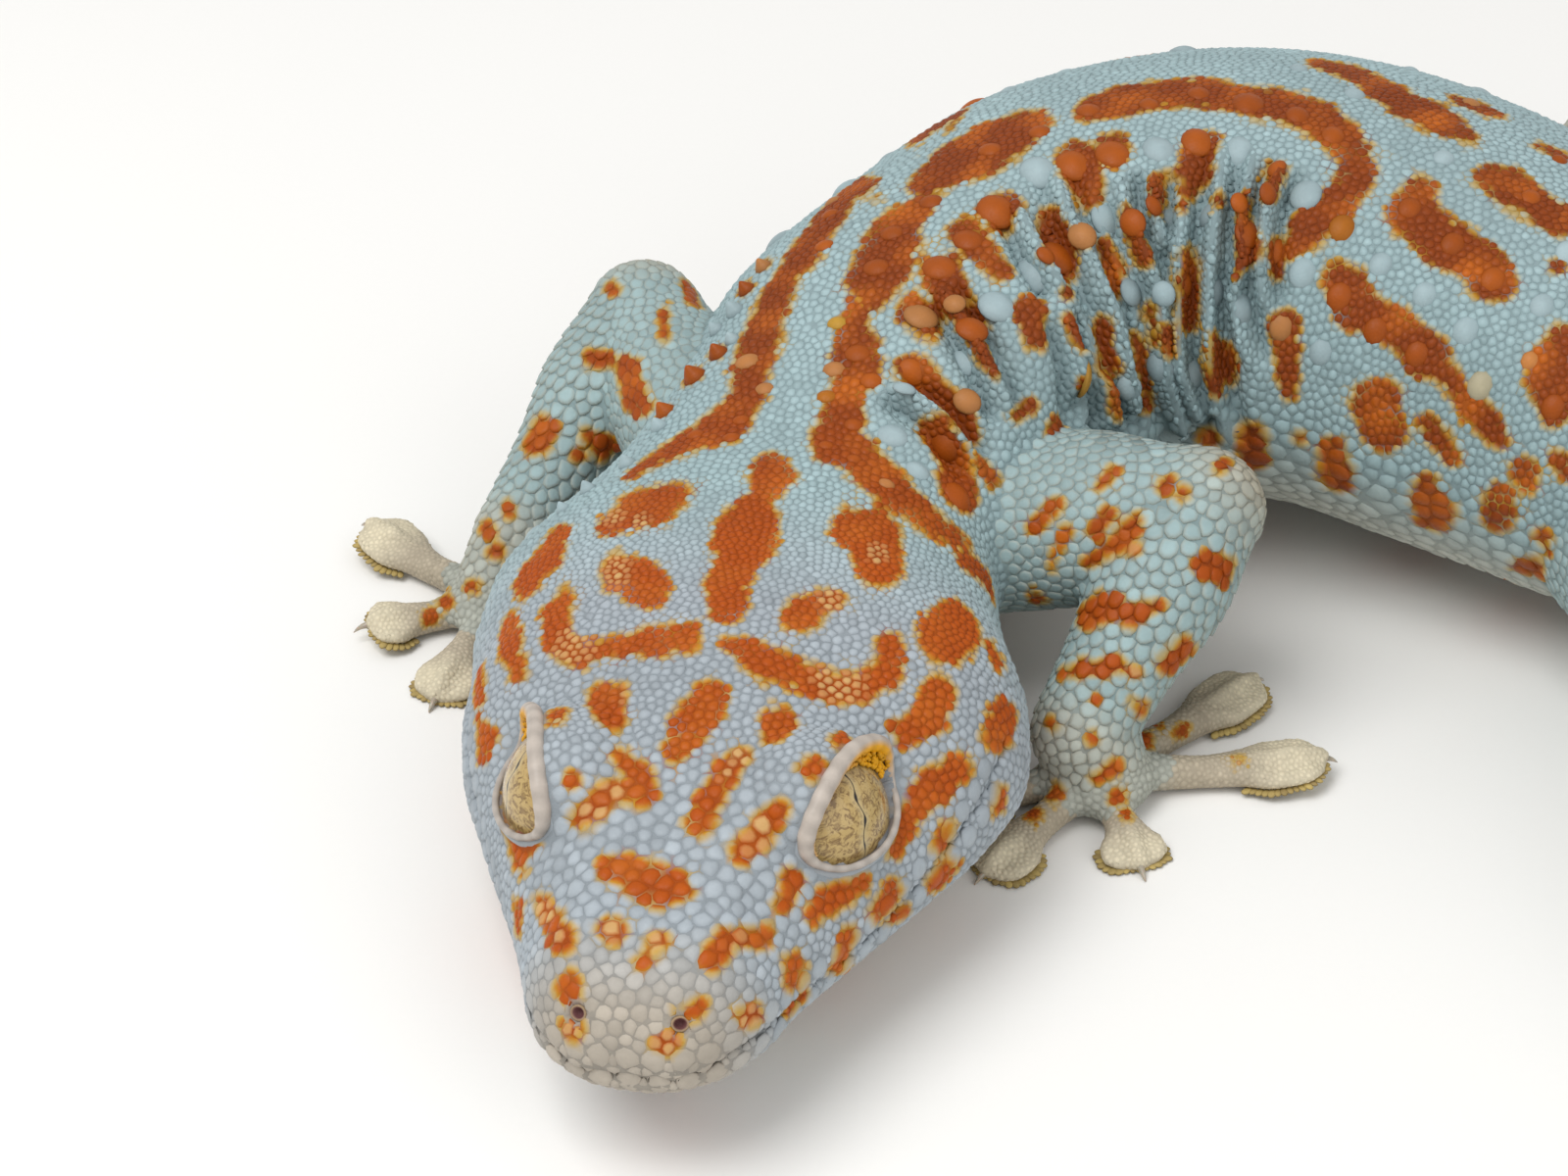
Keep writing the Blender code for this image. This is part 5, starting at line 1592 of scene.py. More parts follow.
def cellLayout(count):
    # Reach of each scale in turned directions, half way to its neighbours
    along, across = localAxes(scaleNormals, scaleInfo["lie"])
    near = scaleNear
    gap = scalePoints[near] - scalePoints[:, None]
    stretch = forms[:, 1]
    x = (gap * along[:, None]).sum(-1) / stretch[:, None]
    y = (gap * across[:, None]).sum(-1)
    distance2 = x * x + y * y
    weight = (scaleSizes * 0.5) ** 2
    reach = (distance2 + weight[:, None] - weight[near]) / 2
    apart = (scaleNormals[:, None] * scaleNormals[near]).sum(-1) < 0.1
    turn = np.arange(count) * 2 * np.pi / count
    toward = x[..., None] * np.cos(turn) + y[..., None] * np.sin(turn)
    blocked = (toward < 0.15 * np.sqrt(distance2)[..., None]) | apart[..., None]
    radius = np.where(blocked, 9.0, reach[..., None] / np.maximum(toward, 1e-6)).min(1)
    radius = np.clip(radius, 0.3 * scaleSizes[:, None], 0.66 * scaleSizes[:, None])
    return along, across, radius, np.cos(turn) * stretch[:, None], np.sin(turn)[None], turn


scaleNear = neighbours(scalePoints, spread["cellNear"])
dressAll()


def growTree():
    # Sets a small shape on each root, turned and sized by the root's own attributes
    tree = bpy.data.node_groups.new("growOnRoots", "GeometryNodeTree")
    for name, kindName in (("Roots", "Geometry"), ("Shape", "Object"), ("Unevenness", "Float"),
                           ("Seed", "Int"), ("Material", "Material")):
        tree.interface.new_socket(name, in_out="INPUT", socket_type="NodeSocket" + kindName)
    tree.interface.new_socket("Pieces", in_out="OUTPUT", socket_type="NodeSocketGeometry")
    given = addNode(tree, "NodeGroupInput").outputs
    shape = addNode(tree, "GeometryNodeObjectInfo", {"transform_space": "ORIGINAL"},
                    {"Object": given["Shape"]})
    vectors = {"data_type": "FLOAT_VECTOR"}
    turn, size = [addNode(tree, "GeometryNodeInputNamedAttribute", vectors, {"Name": word})
                  for word in ("turn", "size")]
    less, more = [addNode(tree, "ShaderNodeMath", {"operation": word}, {0: 1.0, 1: given["Unevenness"]})
                  for word in ("SUBTRACT", "ADD")]
    vary = addNode(tree, "FunctionNodeRandomValue", {"data_type": "FLOAT"},
                   {2: less.outputs[0], 3: more.outputs[0], 8: given["Seed"]})
    scale = addNode(tree, "ShaderNodeVectorMath", {"operation": "SCALE"},
                    {0: size.outputs[0], "Scale": vary.outputs[1]})
    euler = addNode(tree, "FunctionNodeEulerToRotation", {}, {0: turn.outputs[0]})
    grown = addNode(tree, "GeometryNodeInstanceOnPoints", {}, {
        "Points": given["Roots"], "Instance": shape.outputs["Geometry"], "Rotation": euler.outputs[0],
        "Scale": scale.outputs[0]})
    solid = addNode(tree, "GeometryNodeRealizeInstances", {}, {0: grown.outputs[0]})
    dressed = addNode(tree, "GeometryNodeSetMaterial", {}, {
        0: solid.outputs[0], "Material": given["Material"]})
    addNode(tree, "NodeGroupOutput", {}, {0: dressed.outputs[0]})
    return tree


growing = growTree()


def turnAngles(along, across, normal):
    return np.column_stack([
        np.arctan2(across[:, 2], normal[:, 2]),
        -np.arcsin(np.clip(along[:, 2], -1, 1)),
        np.arctan2(along[:, 1], along[:, 0]),
    ])


def turnedShape(name, profile, sides, paintedShading):
    # Small closed shape turned about its height: radius and height at each level, with a painted shading per
    # level
    turn = np.arange(sides) * 2 * np.pi / sides
    rings = [np.column_stack([r * np.cos(turn), r * np.sin(turn), np.full(sides, z)]) for r, z in profile]
    points, faces = loftRings(rings)
    mesh = bpy.data.meshes.new(name)
    mesh.from_pydata(points.tolist(), [], faces)
    mesh.polygons.foreach_set("use_smooth", np.ones(len(faces), bool))
    shade = mesh.attributes.new("shade", "FLOAT", "POINT")
    shade.data.foreach_set("value", np.repeat(paintedShading, sides).astype(np.float32))
    spot = mesh.attributes.new("spot", "FLOAT_VECTOR", "POINT")
    spot.data.foreach_set("vector", (points * [1, 1, 0]).astype(np.float32).ravel())
    return addObject(name, mesh)


def growOn(name, shape, roots, along, normals, sizes, tints, material, unevenness, seed, slot="skin"):
    # One mesh of small shapes on roots in mm, laid along a direction and standing on normals
    across = np.cross(normals, along)
    mesh = bpy.data.meshes.new(name)
    mesh.from_pydata(inFrame(roots).tolist(), [], [])
    info = describe(roots)
    places = sheetPlaces(roots, normals, info)
    for word, values in (("turn", turnAngles(along, across, normals)), ("size", sizes * mm), ("tint", tints),
                         ("root", np.column_stack([places, np.zeros(len(roots))]))):
        layer = mesh.attributes.new(word, "FLOAT_VECTOR", "POINT")
        layer.data.foreach_set("vector", np.asarray(values, np.float32).ravel())
    thing = addObject(name, mesh)
    modifier = thing.modifiers.new("grow", "NODES")
    modifier.node_group = growing
    wanted = {"Shape": shape, "Unevenness": unevenness, "Seed": seed, "Material": material}
    for item in growing.interface.items_tree:
        if item.item_type == "SOCKET" and item.in_out == "INPUT" and item.name in wanted:
            modifier[item.identifier] = wanted[item.name]
    grown = bakeModifiers(thing)
    shade = readValues(grown.attributes["shade"].data, "value", 1)
    tint, root, spot = [readValues(grown.attributes[word].data, "vector", 3)
                        for word in ("tint", "root", "spot")]
    for word in ("tint", "root", "spot", "shade", "turn", "size"):
        if word in grown.attributes:
            grown.attributes.remove(grown.attributes[word])
    # tints times the shapes' painted shade and highlight
    paintMesh(grown, tint * shade, root[:, :2] + spot[:, :2] * patch, cornersOf(grown))
    pieces.append((thing, slot))


# each shape's shading is painted shade at its foot and, where over 1, a painted highlight on its top
domeShape = turnedShape(
    "domeScale", [(1.08, -0.6), (1.06, -0.2), (0.92, 0.2), (0.68, 0.58), (0.4, 0.87), (0.12, 1.0)],
    16, [0.74, 0.84, 0.93, 0.99, 1.02, 1.05])
spikeShape = turnedShape(
    "pointedScale", [(1.0, -0.5), (0.94, 0.04), (0.72, 0.32), (0.45, 0.66), (0.2, 0.92), (0.06, 1.0)],
    16, [0.6, 0.8, 0.95, 1.0, 1.06, 1.12])
beadShape = turnedShape(
    "lidBead", [(0.9, -0.6), (1.0, 0.0), (0.86, 0.5), (0.5, 0.86), (0.15, 1.0)],
    12, [0.55, 0.7, 0.95, 1.0, 1.0])
# Tubercles: heights and length against the width, and mm added to a low one
knob = {"tall": 0.16, "added": 0.05, "coneTall": 0.62, "lean": 0.12, "long": 1.15, "paleShare": 0.25,
        "stirred": 0.06}


def growTubercles():
    chosen = np.flatnonzero(kind == 1)
    along, _ = localAxes(scaleNormals[chosen], scaleInfo["lie"][chosen])
    half = scaleSizes[chosen] * 0.5
    lean = unit(scaleNormals[chosen] + along * knob["lean"])
    leanAlong = unit(along - lean * (along * lean).sum(1, keepdims=True))
    orange = mix(scaleOrange[chosen], colours["brightMark"], 0.3)
    pale = np.random.default_rng(5).uniform(0, 1, len(chosen)) < knob["paleShare"]
    orange = mix(orange, colours["paleTop"], pale * 0.3)
    ground = mix(scaleGround[chosen] * 1.02, colours["crown"], 0.25)
    tints = paintMarks(ground, orange, scaleReach[chosen] - 0.25)
    sizes = np.column_stack([half, half * knob["long"], scaleSizes[chosen] * knob["tall"] + knob["added"]])
    sizes[tubercleTall, 2] = scaleSizes[chosen][tubercleTall] * knob["coneTall"]
    for name, shape, some in (("tubercles", domeShape, ~tubercleTall),
                              ("neck_cones", spikeShape, tubercleTall)):
        growOn(name, shape, scalePoints[chosen][some], leanAlong[some], lean[some], sizes[some], tints[some],
               scaleMaterial, knob["stirred"], 4)
    report("tubercles grown")


growTubercles()


# Lids: a fold of skin round each eye opening, a rounded edge on it and granules inside the edge
lid = {
    "reach": 5.9, "lowReach": 5.8, "edge": 0.6, "lowEdge": 0.24, "wide": 1.13, "lowWide": 1.05,
    "steps": 120, "sides": 16, "segments": 11, "waved": 0.03,
    # Width against the opening, mm from the eye's centre, share of the corner's lift and of the dark tint,
    # which is painted shade on the fold's inner wall
    "fold": [(1.32, 5.55, 0.4, 0), (1.2, 5.88, 0.8, 0), (1.1, 5.93, 1, 0.3), (1.03, 5.6, 0.8, 1),
             (1.0, 5.42, 0.35, 1), (1.02, 5.1, 0, 1), (1.3, 4.7, 0, 1)],
    "granules": 560, "granule": 0.34, "granuleWide": 1.03, "granuleReach": 5.46, "granuleRise": 0.32,
    "granuleLift": 0.95,
    # Yellow rear corner: how much it leans upwards, and where it starts and is full
    "foldRear": (0.35, 0.3, 0.9), "edgeRear": (0.2, 0.0, 0.85), "granuleRear": (0.35, 0.1, 0.95),
    # dark: colour of the painted shade inside the fold and in the socket round the eyeball
    "top": "#B4AAA0", "low": "#AAA29A", "yellow": "#DA9D12", "dark": "#857A74",
}


def closedTube(path, radius, sides):
    ahead = unit(np.roll(path, -1, 0) - np.roll(path, 1, 0))
    outward = unit(path - path.mean(0))
    outward = unit(outward - ahead * (outward * ahead).sum(1, keepdims=True))
    other = np.cross(ahead, outward)
    turn = np.arange(sides) * 2 * np.pi / sides
    ring = outward[:, None] * np.cos(turn)[:, None] + other[:, None] * np.sin(turn)[:, None]
    points = path[:, None] + ring * radius[:, None, None]
    index = np.arange(len(path) * sides).reshape(len(path), sides)
    nextRing = np.roll(index, -1, 0)
    faces = np.stack([index, np.roll(index, -1, 1), np.roll(nextRing, -1, 1), nextRing], -1).reshape(-1, 4)
    return points.reshape(-1, 3), faces


def facingOut(points, faces):
    # Turns the faces of closed shells over if they face inwards
    volume = 0.0
    for face in faces:
        for k in range(1, len(face) - 1):
            volume += points[face[0]] @ np.cross(points[face[k]], points[face[k + 1]])
    return faces if volume > 0 else [list(face)[::-1] for face in faces]


def plainPiece(name, points, faces, colour, material, slot="skin"):
    faces = facingOut(points, faces)
    tints = np.broadcast_to(colour, (len(points), 3))
    info = describe(points)
    normals = unit(points - points.mean(0))
    places = sheetPlaces(points, normals, info)
    corners = np.array([c for face in faces for c in face])
    return makePiece(name, points, corners, [len(face) for face in faces], tints, places, material, slot)


def lidShare(turn, sign):
    # How much each place round the opening belongs to the thick upper lid
    share = soft(-np.sin(turn) * sign - 0.1 * np.cos(turn), -0.5, 0.5)
    return share * share * (3 - 2 * share)


def rearShare(turn, sign, lean, start, end):
    return soft(-np.cos(turn) - lean * np.sin(turn) * sign, start, end)


def offAxis(points, centre, axis):
    gap = points - centre
    return np.linalg.norm(gap - axis * (gap @ axis)[:, None], axis=1)


def makeFold(sign, word, turn, upper):
    # Fold of skin from the scales in to the eyeball
    rings = [lidPoint(sign, turn, reach, wide, lift) for wide, reach, lift, _ in lid["fold"]]
    points = np.stack(rings, axis=1)
    sides = points.shape[1]
    index = np.arange(len(turn) * sides).reshape(-1, sides)
    ahead = np.roll(index, -1, 0)
    faces = np.stack([index, ahead, np.roll(ahead, -1, 1), np.roll(index, -1, 1)], -1).reshape(-1, 4)
    if sign < 0:
        faces = faces[:, ::-1]
    tints = np.repeat(groundColours(points[:, 0], describe(points[:, 0]))[:, None], sides, 1)
    inner = np.array([row[3] for row in lid["fold"]])[None] * np.ones((len(turn), 1))
    # painted shade: the fold's inner wall, down to the eyeball, tinted dark
    tints = mix(tints, hexColour(lid["dark"]), inner * 0.9)
    behind = rearShare(turn, sign, *lid["foldRear"]) * upper
    tints = mix(tints, hexColour(lid["yellow"]), behind[:, None] * inner)
    plainPiece("lid_fold_" + word, points.reshape(-1, 3), faces.tolist(), tints.reshape(-1, 3), lidMaterial)


def makeEdge(sign, word, turn, upper):
    # Rounded edge, thick above and thin below
    centre, axis = eyeFrame(sign)[:2]
    wide, reach, thick = [lid[low] + (lid[top] - lid[low]) * upper for low, top in (
        ("lowWide", "wide"), ("lowReach", "reach"), ("lowEdge", "edge"))]
    waved = 1 + lid["waved"] * np.sin(turn * 2 * lid["segments"] + 1)
    path = np.array([lidPoint(sign, t, r, w)[0] for t, r, w in zip(turn, reach, wide)])
    radius = thick * waved
    points, faces = closedTube(path, radius, lid["sides"])
    many, back, ring, size, shade = [np.repeat(values, lid["sides"]) for values in (
        upper, rearShare(turn, sign, *lid["edgeRear"]), offAxis(path, centre, axis), radius, waved)]
    tints = mix(hexColour(lid["low"]), hexColour(lid["top"]), many)
    inside = (ring - offAxis(points, centre, axis)) / size
    inside = soft(inside - 0.55 * (1 - back), -0.1, 0.3)
    tints = mix(tints, hexColour(lid["yellow"]), inside * many * (0.6 + 0.4 * back))
    # painted shade and highlight on the edge's segments: darker where it is thin, lighter where thick
    plainPiece("lid_edge_" + word, points, faces.tolist(), tints * (shade ** 3)[:, None], lidMaterial)


def sowGranules(sign, word):
    # Small granules between the upper edge and the eyeball, most of them at the back
    centre, axis = eyeFrame(sign)[:2]
    chance = np.random.default_rng(8)
    turn = chance.uniform(0, 2 * np.pi, lid["granules"])
    turn = turn[lidShare(turn, sign) > 0.4]
    behind = rearShare(turn, sign, *lid["granuleRear"])
    wide = lid["granuleWide"] - chance.uniform(0, 1, len(turn)) * (0.03 + 0.27 * behind ** 1.5)
    reach = lid["granuleReach"] + lid["granuleRise"] * soft(wide, 0.92, lid["granuleWide"])
    lift = lid["granuleLift"] * soft(wide, 0.76, lid["granuleWide"])
    roots = np.array([lidPoint(sign, t, r, w, k)[0] for t, r, w, k in zip(turn, reach, wide, lift)])
    size = lid["granule"] * (0.5 + 0.5 * behind) * chance.uniform(0.7, 1.1, len(turn))
    sizes = np.column_stack([size * 0.5, size * 0.5, size * 0.6])
    tints = mix(hexColour(lid["top"]), hexColour(lid["yellow"]), 0.6 + 0.4 * behind)
    growOn("lid_granules_" + word, beadShape, roots, unit(np.cross(roots - centre, axis)),
           unit(roots - centre), sizes, tints, lidMaterial, 0.25, 6)


def makeLids():
    turn = np.linspace(0, 2 * np.pi, lid["steps"], endpoint=False)
    for sign, word in ((1, "left"), (-1, "right")):
        upper = lidShare(turn, sign)
        makeFold(sign, word, turn, upper)
        makeEdge(sign, word, turn, upper)
        sowGranules(sign, word)


makeLids()


# Nostrils: a low rim of skin round each hole, dark inside as painted shade
nostrilRim = {
    "near": 0.9, "far": 2.4, "flat": 0.85, "sides": 20, "skin": "#A28A6C", "inside": "#6A4444",
    # Radius, height and share of the inner tint, the painted shade down in the hole
    "outline": [(0.66, -0.8, 0), (0.64, -0.14, 0), (0.55, -0.02, 0), (0.46, -0.03, 0.45), (0.38, -0.15, 1),
                (0.28, -0.42, 1), (0.1, -0.55, 1)],
}


def makeNostrils():
    shells = []
    sides = nostrilRim["sides"]
    turn = np.arange(sides) * 2 * np.pi / sides
    for sign in (1, -1):
        hole = nostrilPlace(sign)
        near = np.linalg.norm(scalePoints - hole, axis=1)
        near = (near > nostrilRim["near"]) & (near < nostrilRim["far"])
        normal = unit(scaleNormals[near].mean(0))
        base = hole + normal * ((scalePoints[near] - hole) @ normal).mean()
        a, b = crossDirections(normal)
        flat = np.outer(np.cos(turn), a) + np.outer(np.sin(turn), b) * nostrilRim["flat"]
        shells.append(loftRings([base + normal * z + r * flat for r, z, _ in nostrilRim["outline"]]))
    points, faces = joinShells(shells)
    deep = np.repeat([row[2] for row in nostrilRim["outline"]], sides)
    tints = mix(hexColour(nostrilRim["skin"]), hexColour(nostrilRim["inside"]), np.tile(deep, 2))
    plainPiece("nostrils", np.array(points), faces, tints, skinMaterial)


makeNostrils()


# Eyes: wet domes with a gold iris and a notched upright pupil
iris = {
    "slitTurn": 27.9, "slitAhead": 0.69, "slitDown": -0.34,     # degrees and mm
    "slitHalf": 3.0, "slitWide": 0.022, "notch": 0.09, "notches": 1.9, "bend": 0.14, "bends": 2.6,
    "sheet": 16.0,                      # mm across the map of the eye
    "gold": "#C0A468", "pale": "#CDB98A", "brown": "#7D6136", "dark": "#15100C",
}


def irisMaterial():
    # Living eye: gold iris veined with brown under a clear wet cornea
    material, tree = startMaterial("iris under wet cornea")
    place = addNode(tree, "ShaderNodeUVMap", {"uv_map": "irisMap"}).outputs[0]
    split = addNode(tree, "ShaderNodeSeparateXYZ", {}, {0: place})
    made = {"u": split.outputs[0], "v": split.outputs[1]}
    # The slit: x across it and y along it in mm, how it bends, its notches and its pointed ends
    sums = [
        ("offX", "SUBTRACT", "u", 0.5), ("x", "MULTIPLY", "offX", iris["sheet"]),
        ("offY", "SUBTRACT", "v", 0.5), ("y", "MULTIPLY", "offY", iris["sheet"]),
        ("bendTurn", "MULTIPLY", "y", iris["bends"]), ("bendWave", "SINE", "bendTurn", 0.0),
        ("bend", "MULTIPLY", "bendWave", iris["bend"]),
        ("notchTurn", "MULTIPLY", "y", iris["notches"]), ("notchWave", "SINE", "notchTurn", 0.0),
        ("notchRise", "ABSOLUTE", "notchWave", 0.0), ("beat", "POWER", "notchRise", 6.0),
        ("notch", "MULTIPLY", "beat", iris["notch"]), ("wide", "ADD", "notch", iris["slitWide"]),
        ("offMiddle", "ABSOLUTE", "y", 0.0), ("run", "DIVIDE", "offMiddle", iris["slitHalf"]),
        ("runOut", "POWER", "run", 4.0), ("ends", "SUBTRACT", 1.0, "runOut"),
        ("half", "MULTIPLY", "wide", "ends"), ("bent", "ADD", "x", "bend"),
        ("offSlit", "ABSOLUTE", "bent", 0.0), ("away", "SUBTRACT", "offSlit", "half"),
    ]
    for word, operation, a, b in sums:
        settings = {"operation": operation, "use_clamp": word == "ends"}
        values = {0: made.get(a, a), 1: made.get(b, b)}
        made[word] = addNode(tree, "ShaderNodeMath", settings, values).outputs[0]
    away = {"Value": made["away"], "To Max": 0.0}
    pupil, margin = [addNode(tree, "ShaderNodeMapRange", {}, {
        **away, "From Min": start, "From Max": end, "To Min": full})
        for start, end, full in ((-0.02, 0.06, 1.0), (0.05, 0.5, 0.7))]
    veins = addNode(tree, "ShaderNodeTexNoise", {}, {
        "Vector": place, "Scale": 34.0, "Detail": 5.0, "Roughness": 0.62, "Distortion": 1.4})
    veined = addNode(tree, "ShaderNodeMapRange", {}, {
        "Value": veins.outputs[0], "From Min": 0.46, "From Max": 0.6})
    fine = addNode(tree, "ShaderNodeTexNoise", {}, {"Vector": place, "Scale": 130.0, "Detail": 3.0})
    faint = addNode(tree, "ShaderNodeMath", {"operation": "MULTIPLY"}, {0: fine.outputs[0], 1: 0.35})
    colour = rgba(hexColour(iris["gold"]))
    for share, word in ((veined, "brown"), (margin, "pale"), (faint, "brown"), (pupil, "dark")):
        colour = addNode(tree, "ShaderNodeMix", blendColours, {
            0: share.outputs[0], 6: colour, 7: rgba(hexColour(iris[word]))}).outputs[2]
    shader = addNode(tree, "ShaderNodeBsdfPrincipled", {}, {
        "Base Color": colour, "Roughness": 0.5, "IOR": 1.38, "Coat Weight": 1.0, "Coat Roughness": 0.03,
        "Coat IOR": 1.38})
    addNode(tree, "ShaderNodeOutputMaterial", {}, {"Surface": shader.outputs[0]})
    return material


def makeEyes():
    material = irisMaterial()
    for sign, word in ((1, "left"), (-1, "right")):
        centre, axis, forward, across = eyeFrame(sign)
        rings = []
        turn = np.arange(64) * 2 * np.pi / 64
        for polar in np.linspace(np.pi - 0.05, 0.02, 40):
            ring = np.outer(np.cos(turn), forward) + np.outer(np.sin(turn), across)
            rings.append(centre + eye["radius"] * 0.985 * (ring * math.sin(polar) + axis * math.cos(polar)))
        points, faces = loftRings(rings)
        if (np.cross(points[1] - points[0], rings[1][0] - points[0]) @ (points[0] - centre)) < 0:
            faces = [face[::-1] for face in faces]
        gap = points - centre
        a, b = gap @ forward - iris["slitAhead"], (gap @ across) * sign - iris["slitDown"]
        angle = math.radians(iris["slitTurn"])
        along = a * math.sin(angle) + b * math.cos(angle)
        aside = a * math.cos(angle) - b * math.sin(angle)
        thing = plainPiece("eyeball_" + word, points, faces, hexColour(iris["gold"]), material, "eye")
        corners = np.array([c for face in faces for c in face])
        places = np.column_stack([aside, along]) / iris["sheet"] + 0.5
        sheet = thing.data.uv_layers.new(name="irisMap")
        sheet.uv.foreach_set("vector", places[corners].astype(np.float32).ravel())
        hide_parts("eye_" + word)


makeEyes()
report("lids and eyes made")


# Claws: horn, curved down, beyond the tip of each clawed digit
claw = {"from": 0.97, "long": 1.45, "thick": 0.3, "tip": 0.03, "bend": 0.35, "drop": 0.75, "lift": 0.62,
        "floor": 0.12, "clouds": 0.7, "glow": 0.4, "colour": "#C4BBA8", "cloud": "#857866"}


def hornMaterial():
    # Horn: pale translucent claw sheath, smooth from wear
    material, tree = startMaterial("claw horn, worn smooth")
    place = addNode(tree, "ShaderNodeTexCoord").outputs["Object"]
    cloud = addNode(tree, "ShaderNodeTexNoise", {}, {
        "Vector": place, "Scale": 1 / (claw["clouds"] * mm), "Detail": 2.0})
    colour = addNode(tree, "ShaderNodeMix", blendColours, {
        0: cloud.outputs[0], 6: rgba(hexColour(claw["colour"])), 7: rgba(hexColour(claw["cloud"]))})
    shader = addNode(tree, "ShaderNodeBsdfPrincipled", {}, {
        "Base Color": colour.outputs[2], "Roughness": 0.3, "IOR": 1.54, "Subsurface Weight": 0.2,
        "Subsurface Scale": claw["glow"] * mm})
    addNode(tree, "ShaderNodeOutputMaterial", {}, {"Surface": shader.outputs[0]})
    return material


def makeClaws():
    shells = []
    for name in limbs:
        for digit in range(1, 5):
            base, tip, lift = toeLine(name, digit)
            forward = unit(tip - base)
            share = np.linspace(0, 1, 7)
            root = toeMiddle(base, tip, lift, np.array([claw["from"]]), np.array([claw["lift"]]))[0]
            rise = claw["bend"] * np.sin(share * 2.4) - claw["drop"] * share
            path = root + np.outer(share * claw["long"], forward) + np.outer(rise, (0, 0, 1))
            path[:, 2] = np.maximum(path[:, 2], claw["floor"])
            radii = claw["thick"] * (1 - share) ** 0.7 + claw["tip"]
            shells.append(loftRings(tubeRings(path, radii, 12, False)))
    points, faces = joinShells(shells)
    plainPiece("claws", np.array(points), faces, hexColour(claw["colour"]), hornMaterial(), "toe_skin")


makeClaws()


# Pad edges: thin lobes of the plates under each toe, standing out round its rim
fringe = {"from": 0.56, "step": 0.5, "long": 0.5, "wide": 0.3, "thick": 0.12, "height": 0.3,
          "core": 0.78, "inset": 0.25, "lightness": 0.72, "vary": 0.2,
          "yellow": "#BFA868", "brown": "#85714F"}


def makeFringe():
    roots, outs, tints = [], [], []
    for name in limbs:
        for digit in range(5):
            base, tip, lift = toeLine(name, digit)
            forward = unit(tip - base)
            side = np.array([forward[1], -forward[0], 0.0])
            share = np.linspace(fringe["from"], 1.0, 60)
            wide = smoothCurve(toeForm, 1)(share)
            middle = toeMiddle(base, tip, lift, share, np.full(60, fringe["height"]))
            right = middle + side * wide[:, None]
            left = middle - side * wide[:, None]
            path = alongPath(np.concatenate([right, left[::-1]]), fringe["step"])
            core = base + (tip - base) * fringe["core"]
            out = unit((path - core) * [1, 1, 0])
            roots.append(path - out * fringe["inset"])
            outs.append(out)
            light = np.clip(draw.normal(fringe["lightness"], fringe["vary"], len(path)), 0, 1)
            tints.append(mix(hexColour(fringe["brown"]), hexColour(fringe["yellow"]), light))
    roots, outs, tints = np.concatenate(roots), np.concatenate(outs), np.concatenate(tints)
    up = np.zeros_like(roots) + [0, 0, 1.0]
    sizes = np.tile([fringe["long"], fringe["wide"], fringe["thick"]], (len(roots), 1))
    growOn("pad_fringe", beadShape, roots, outs, up, sizes, tints, toeMaterial, 0.2, 9, "toe_skin")


makeFringe()
for shape in (domeShape, spikeShape, beadShape):
    bpy.data.objects.remove(shape)
report("claws and pad edges made")


# Skin piece: thinned, moved to the frame and painted like its scales, darker in the grooves as painted
# shade, its marks darker too
thin = skin.modifiers.new("thin", "DECIMATE")
thin.ratio = remesh["keep"]
bakeModifiers(skin)
points = placeOf(skin.data)
normals = normalsOf(skin.data)
info = describe(points)
reach = markReach(points, info["part"], strokes, strokeParts) + tones["waver"] * ripple(points, 2.6, 3)
# painted shade: the bare skin darkened and mixed with the grey groove colour, its marks darkened too
shade = np.where(info["part"] > 4, 0.86, 0.78)[:, None]
ground = mix(groundColours(points, info) * shade, colours["grooveShade"], 0.12 * (info["part"] < 5))
tints = paintMarks(ground, markColours(points, info) * 0.8, reach)
for sign in (1, -1):
    # round each nostril the snout colour at 0.9, and inside it the dark hole colour as painted shade
    gap = np.linalg.norm(points - nostrilPlace(sign), axis=1) / nostril["radius"]
    tints = mix(tints, colours["snout"] * 0.9, soft(gap, 1.9, 1.4))
    tints = mix(tints, colours["hole"], soft(gap, 1.25, 0.8))
    # painted shade: the ear opening painted dark
    earShade = np.clip(1.5 - np.linalg.norm(points - earPlace(sign), axis=1) / 1.6, 0, 1)
    tints = mix(tints, colours["hole"], earShade)
    # painted shade in the socket round the eyeball
    socketShade = np.clip((5.3 - np.linalg.norm(points - eyeFrame(sign)[0], axis=1)) / 0.3, 0, 1)
    tints = mix(tints, hexColour(lid["dark"]), socketShade)
sole = np.clip((0.35 - points[:, 2]) / 0.2, 0, 1) * (info["part"] > 4)
tints = mix(tints, colours["toe"], sole * 0.8)
skin.data.vertices.foreach_set("co", inFrame(points).ravel())
skin.data.polygons.foreach_set("use_smooth", np.ones(len(skin.data.polygons), bool))
paintMesh(skin.data, tints, sheetPlaces(points, normals, info), cornersOf(skin.data))
skin.data.materials.clear()
skin.data.materials.append(skinMaterial)
skin.data.update()
pieces.append((skin, "skin"))
report("skin painted, %d triangles" % len(skin.data.polygons))

for thing, slot in pieces:
    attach(thing, "root")
fleshNodes = [name for name in frame["nodes"] if not name.startswith("eye")]
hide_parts(*fleshNodes)


# Stage, camera and light
stage = {
    "floor": "#F4F3F0", "floorHalf": 2, "floorGrain": 0.5, "world": 0.6, "aimHeight": 0.015,
    "key": 1.95, "keyFrom": (-0.25, -0.12, 0.5), "keySize": 0.35,
    "fill": 0.8, "fillFrom": (0.35, -0.4, 0.35), "fillSize": 0.5, "lens": 85.5, "sensor": 36,
}


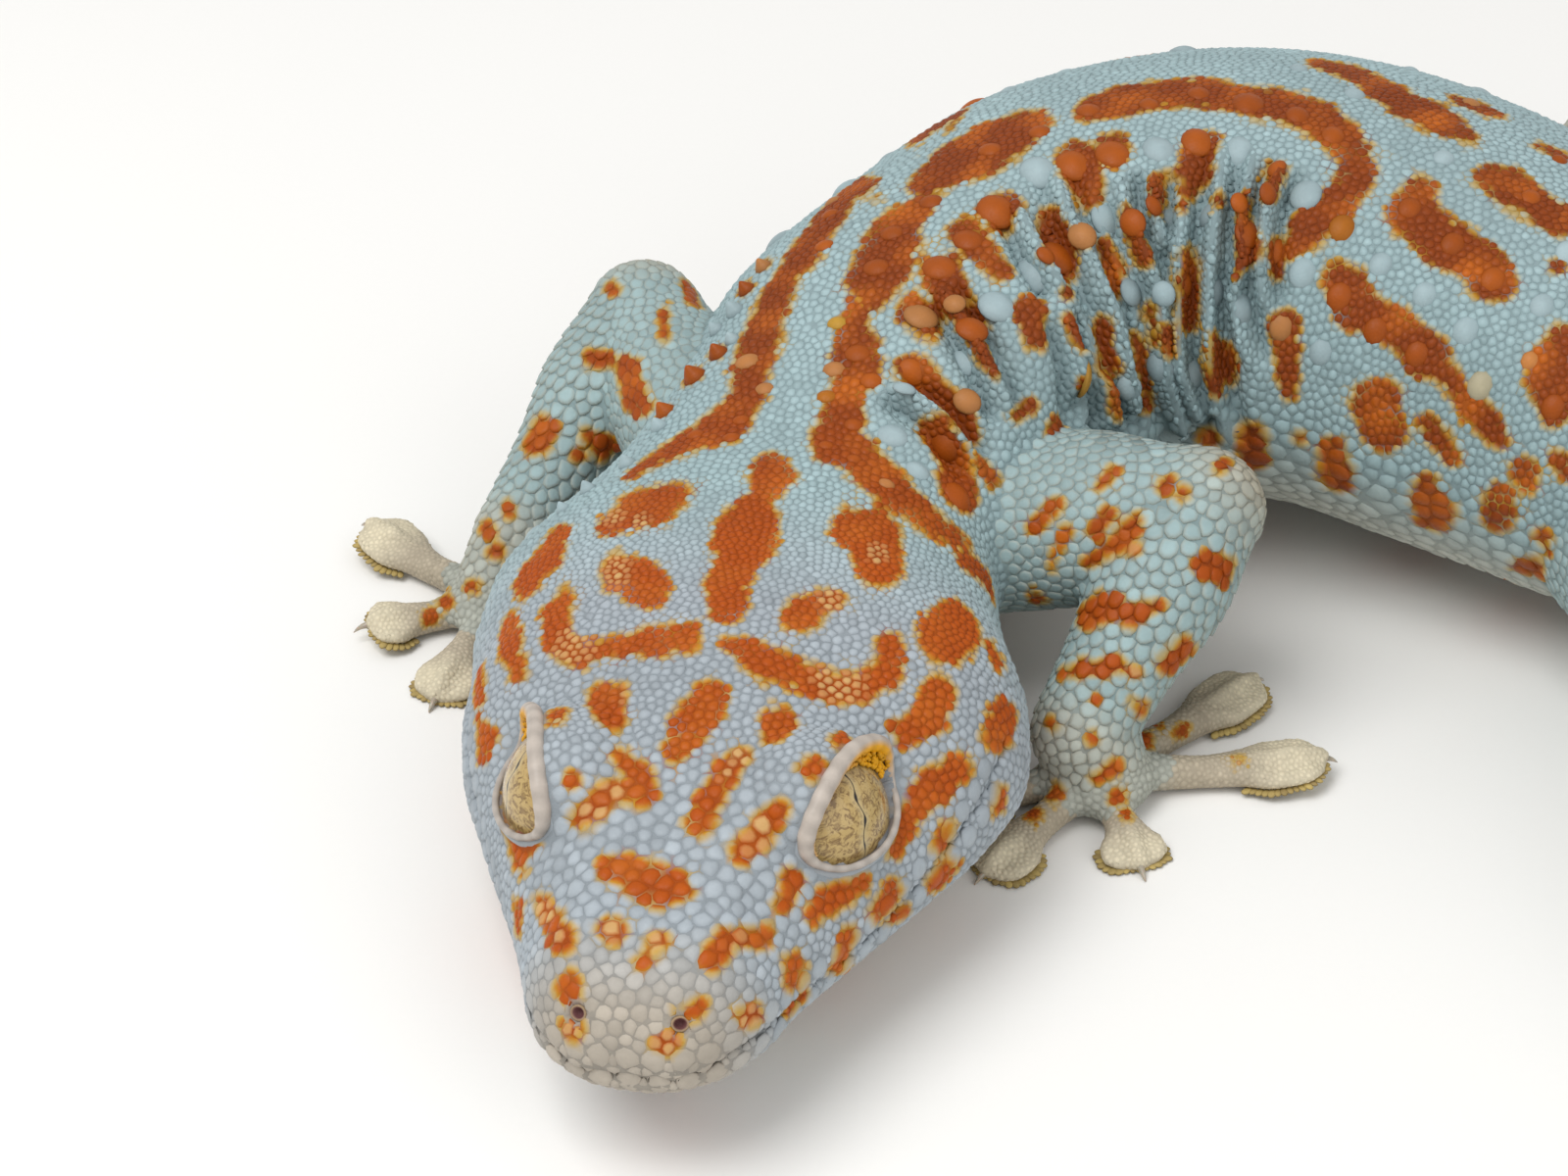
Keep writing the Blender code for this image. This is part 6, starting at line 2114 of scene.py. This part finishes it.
def floorMaterial():
    # Matt white card, lightly uneven
    material, tree = startMaterial("white card, matt")
    place = addNode(tree, "ShaderNodeTexCoord").outputs["Object"]
    grain = addNode(tree, "ShaderNodeTexNoise", {}, {
        "Vector": place, "Scale": 1 / (stage["floorGrain"] * mm), "Detail": 3.0})
    white = hexColour(stage["floor"])
    colour = addNode(tree, "ShaderNodeMix", blendColours, {
        0: grain.outputs[0], 6: rgba(white * 0.985), 7: rgba(white)})
    shader = addNode(tree, "ShaderNodeBsdfPrincipled", {}, {
        "Base Color": colour.outputs[2], "Roughness": 0.9})
    addNode(tree, "ShaderNodeOutputMaterial", {}, {"Surface": shader.outputs[0]})
    return material


def makeStage():
    mesh = bpy.data.meshes.new("floor")
    half = stage["floorHalf"]
    places = [(x * half, y * half, 0) for x, y in ((-1, -1), (1, -1), (1, 1), (-1, 1))]
    mesh.from_pydata(places, [], [(0, 1, 2, 3)])
    mesh.materials.append(floorMaterial())
    addObject("floor", mesh)
    world = bpy.data.worlds.new("studio")
    bpy.context.scene.world = world
    world.use_nodes = True
    world.node_tree.nodes["Background"].inputs[0].default_value = (1, 1, 1, 1)
    world.node_tree.nodes["Background"].inputs[1].default_value = stage["world"]
    for word in ("key", "fill"):
        light = bpy.data.lights.new(word, "AREA")
        light.energy = stage[word]
        light.size = stage[word + "Size"]
        thing = addObject(word, light)
        thing.location = stage[word + "From"]
        across, along = [(eyeHigh[i] + eyeLow[i]) / 2 for i in (0, 1)]
        aim = Vector((across, along, stage["aimHeight"])) - thing.location
        thing.rotation_euler = aim.to_track_quat("-Z", "Y").to_euler()
    camera = bpy.data.cameras.new("camera")
    camera.lens = stage["lens"]
    camera.sensor_width = stage["sensor"]
    camera.clip_start = 0.01
    thing = addObject("camera", camera)
    place = inFrame(cameraPlace)
    rows = [[viewRight[i], viewUp[i], -viewAhead[i], place[i]] for i in range(3)]
    thing.matrix_world = Matrix(rows + [[0, 0, 0, 1]])
    bpy.context.scene.camera = thing
    bpy.context.scene.view_settings.view_transform = "Standard"


makeStage()
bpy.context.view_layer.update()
report("scene ready")
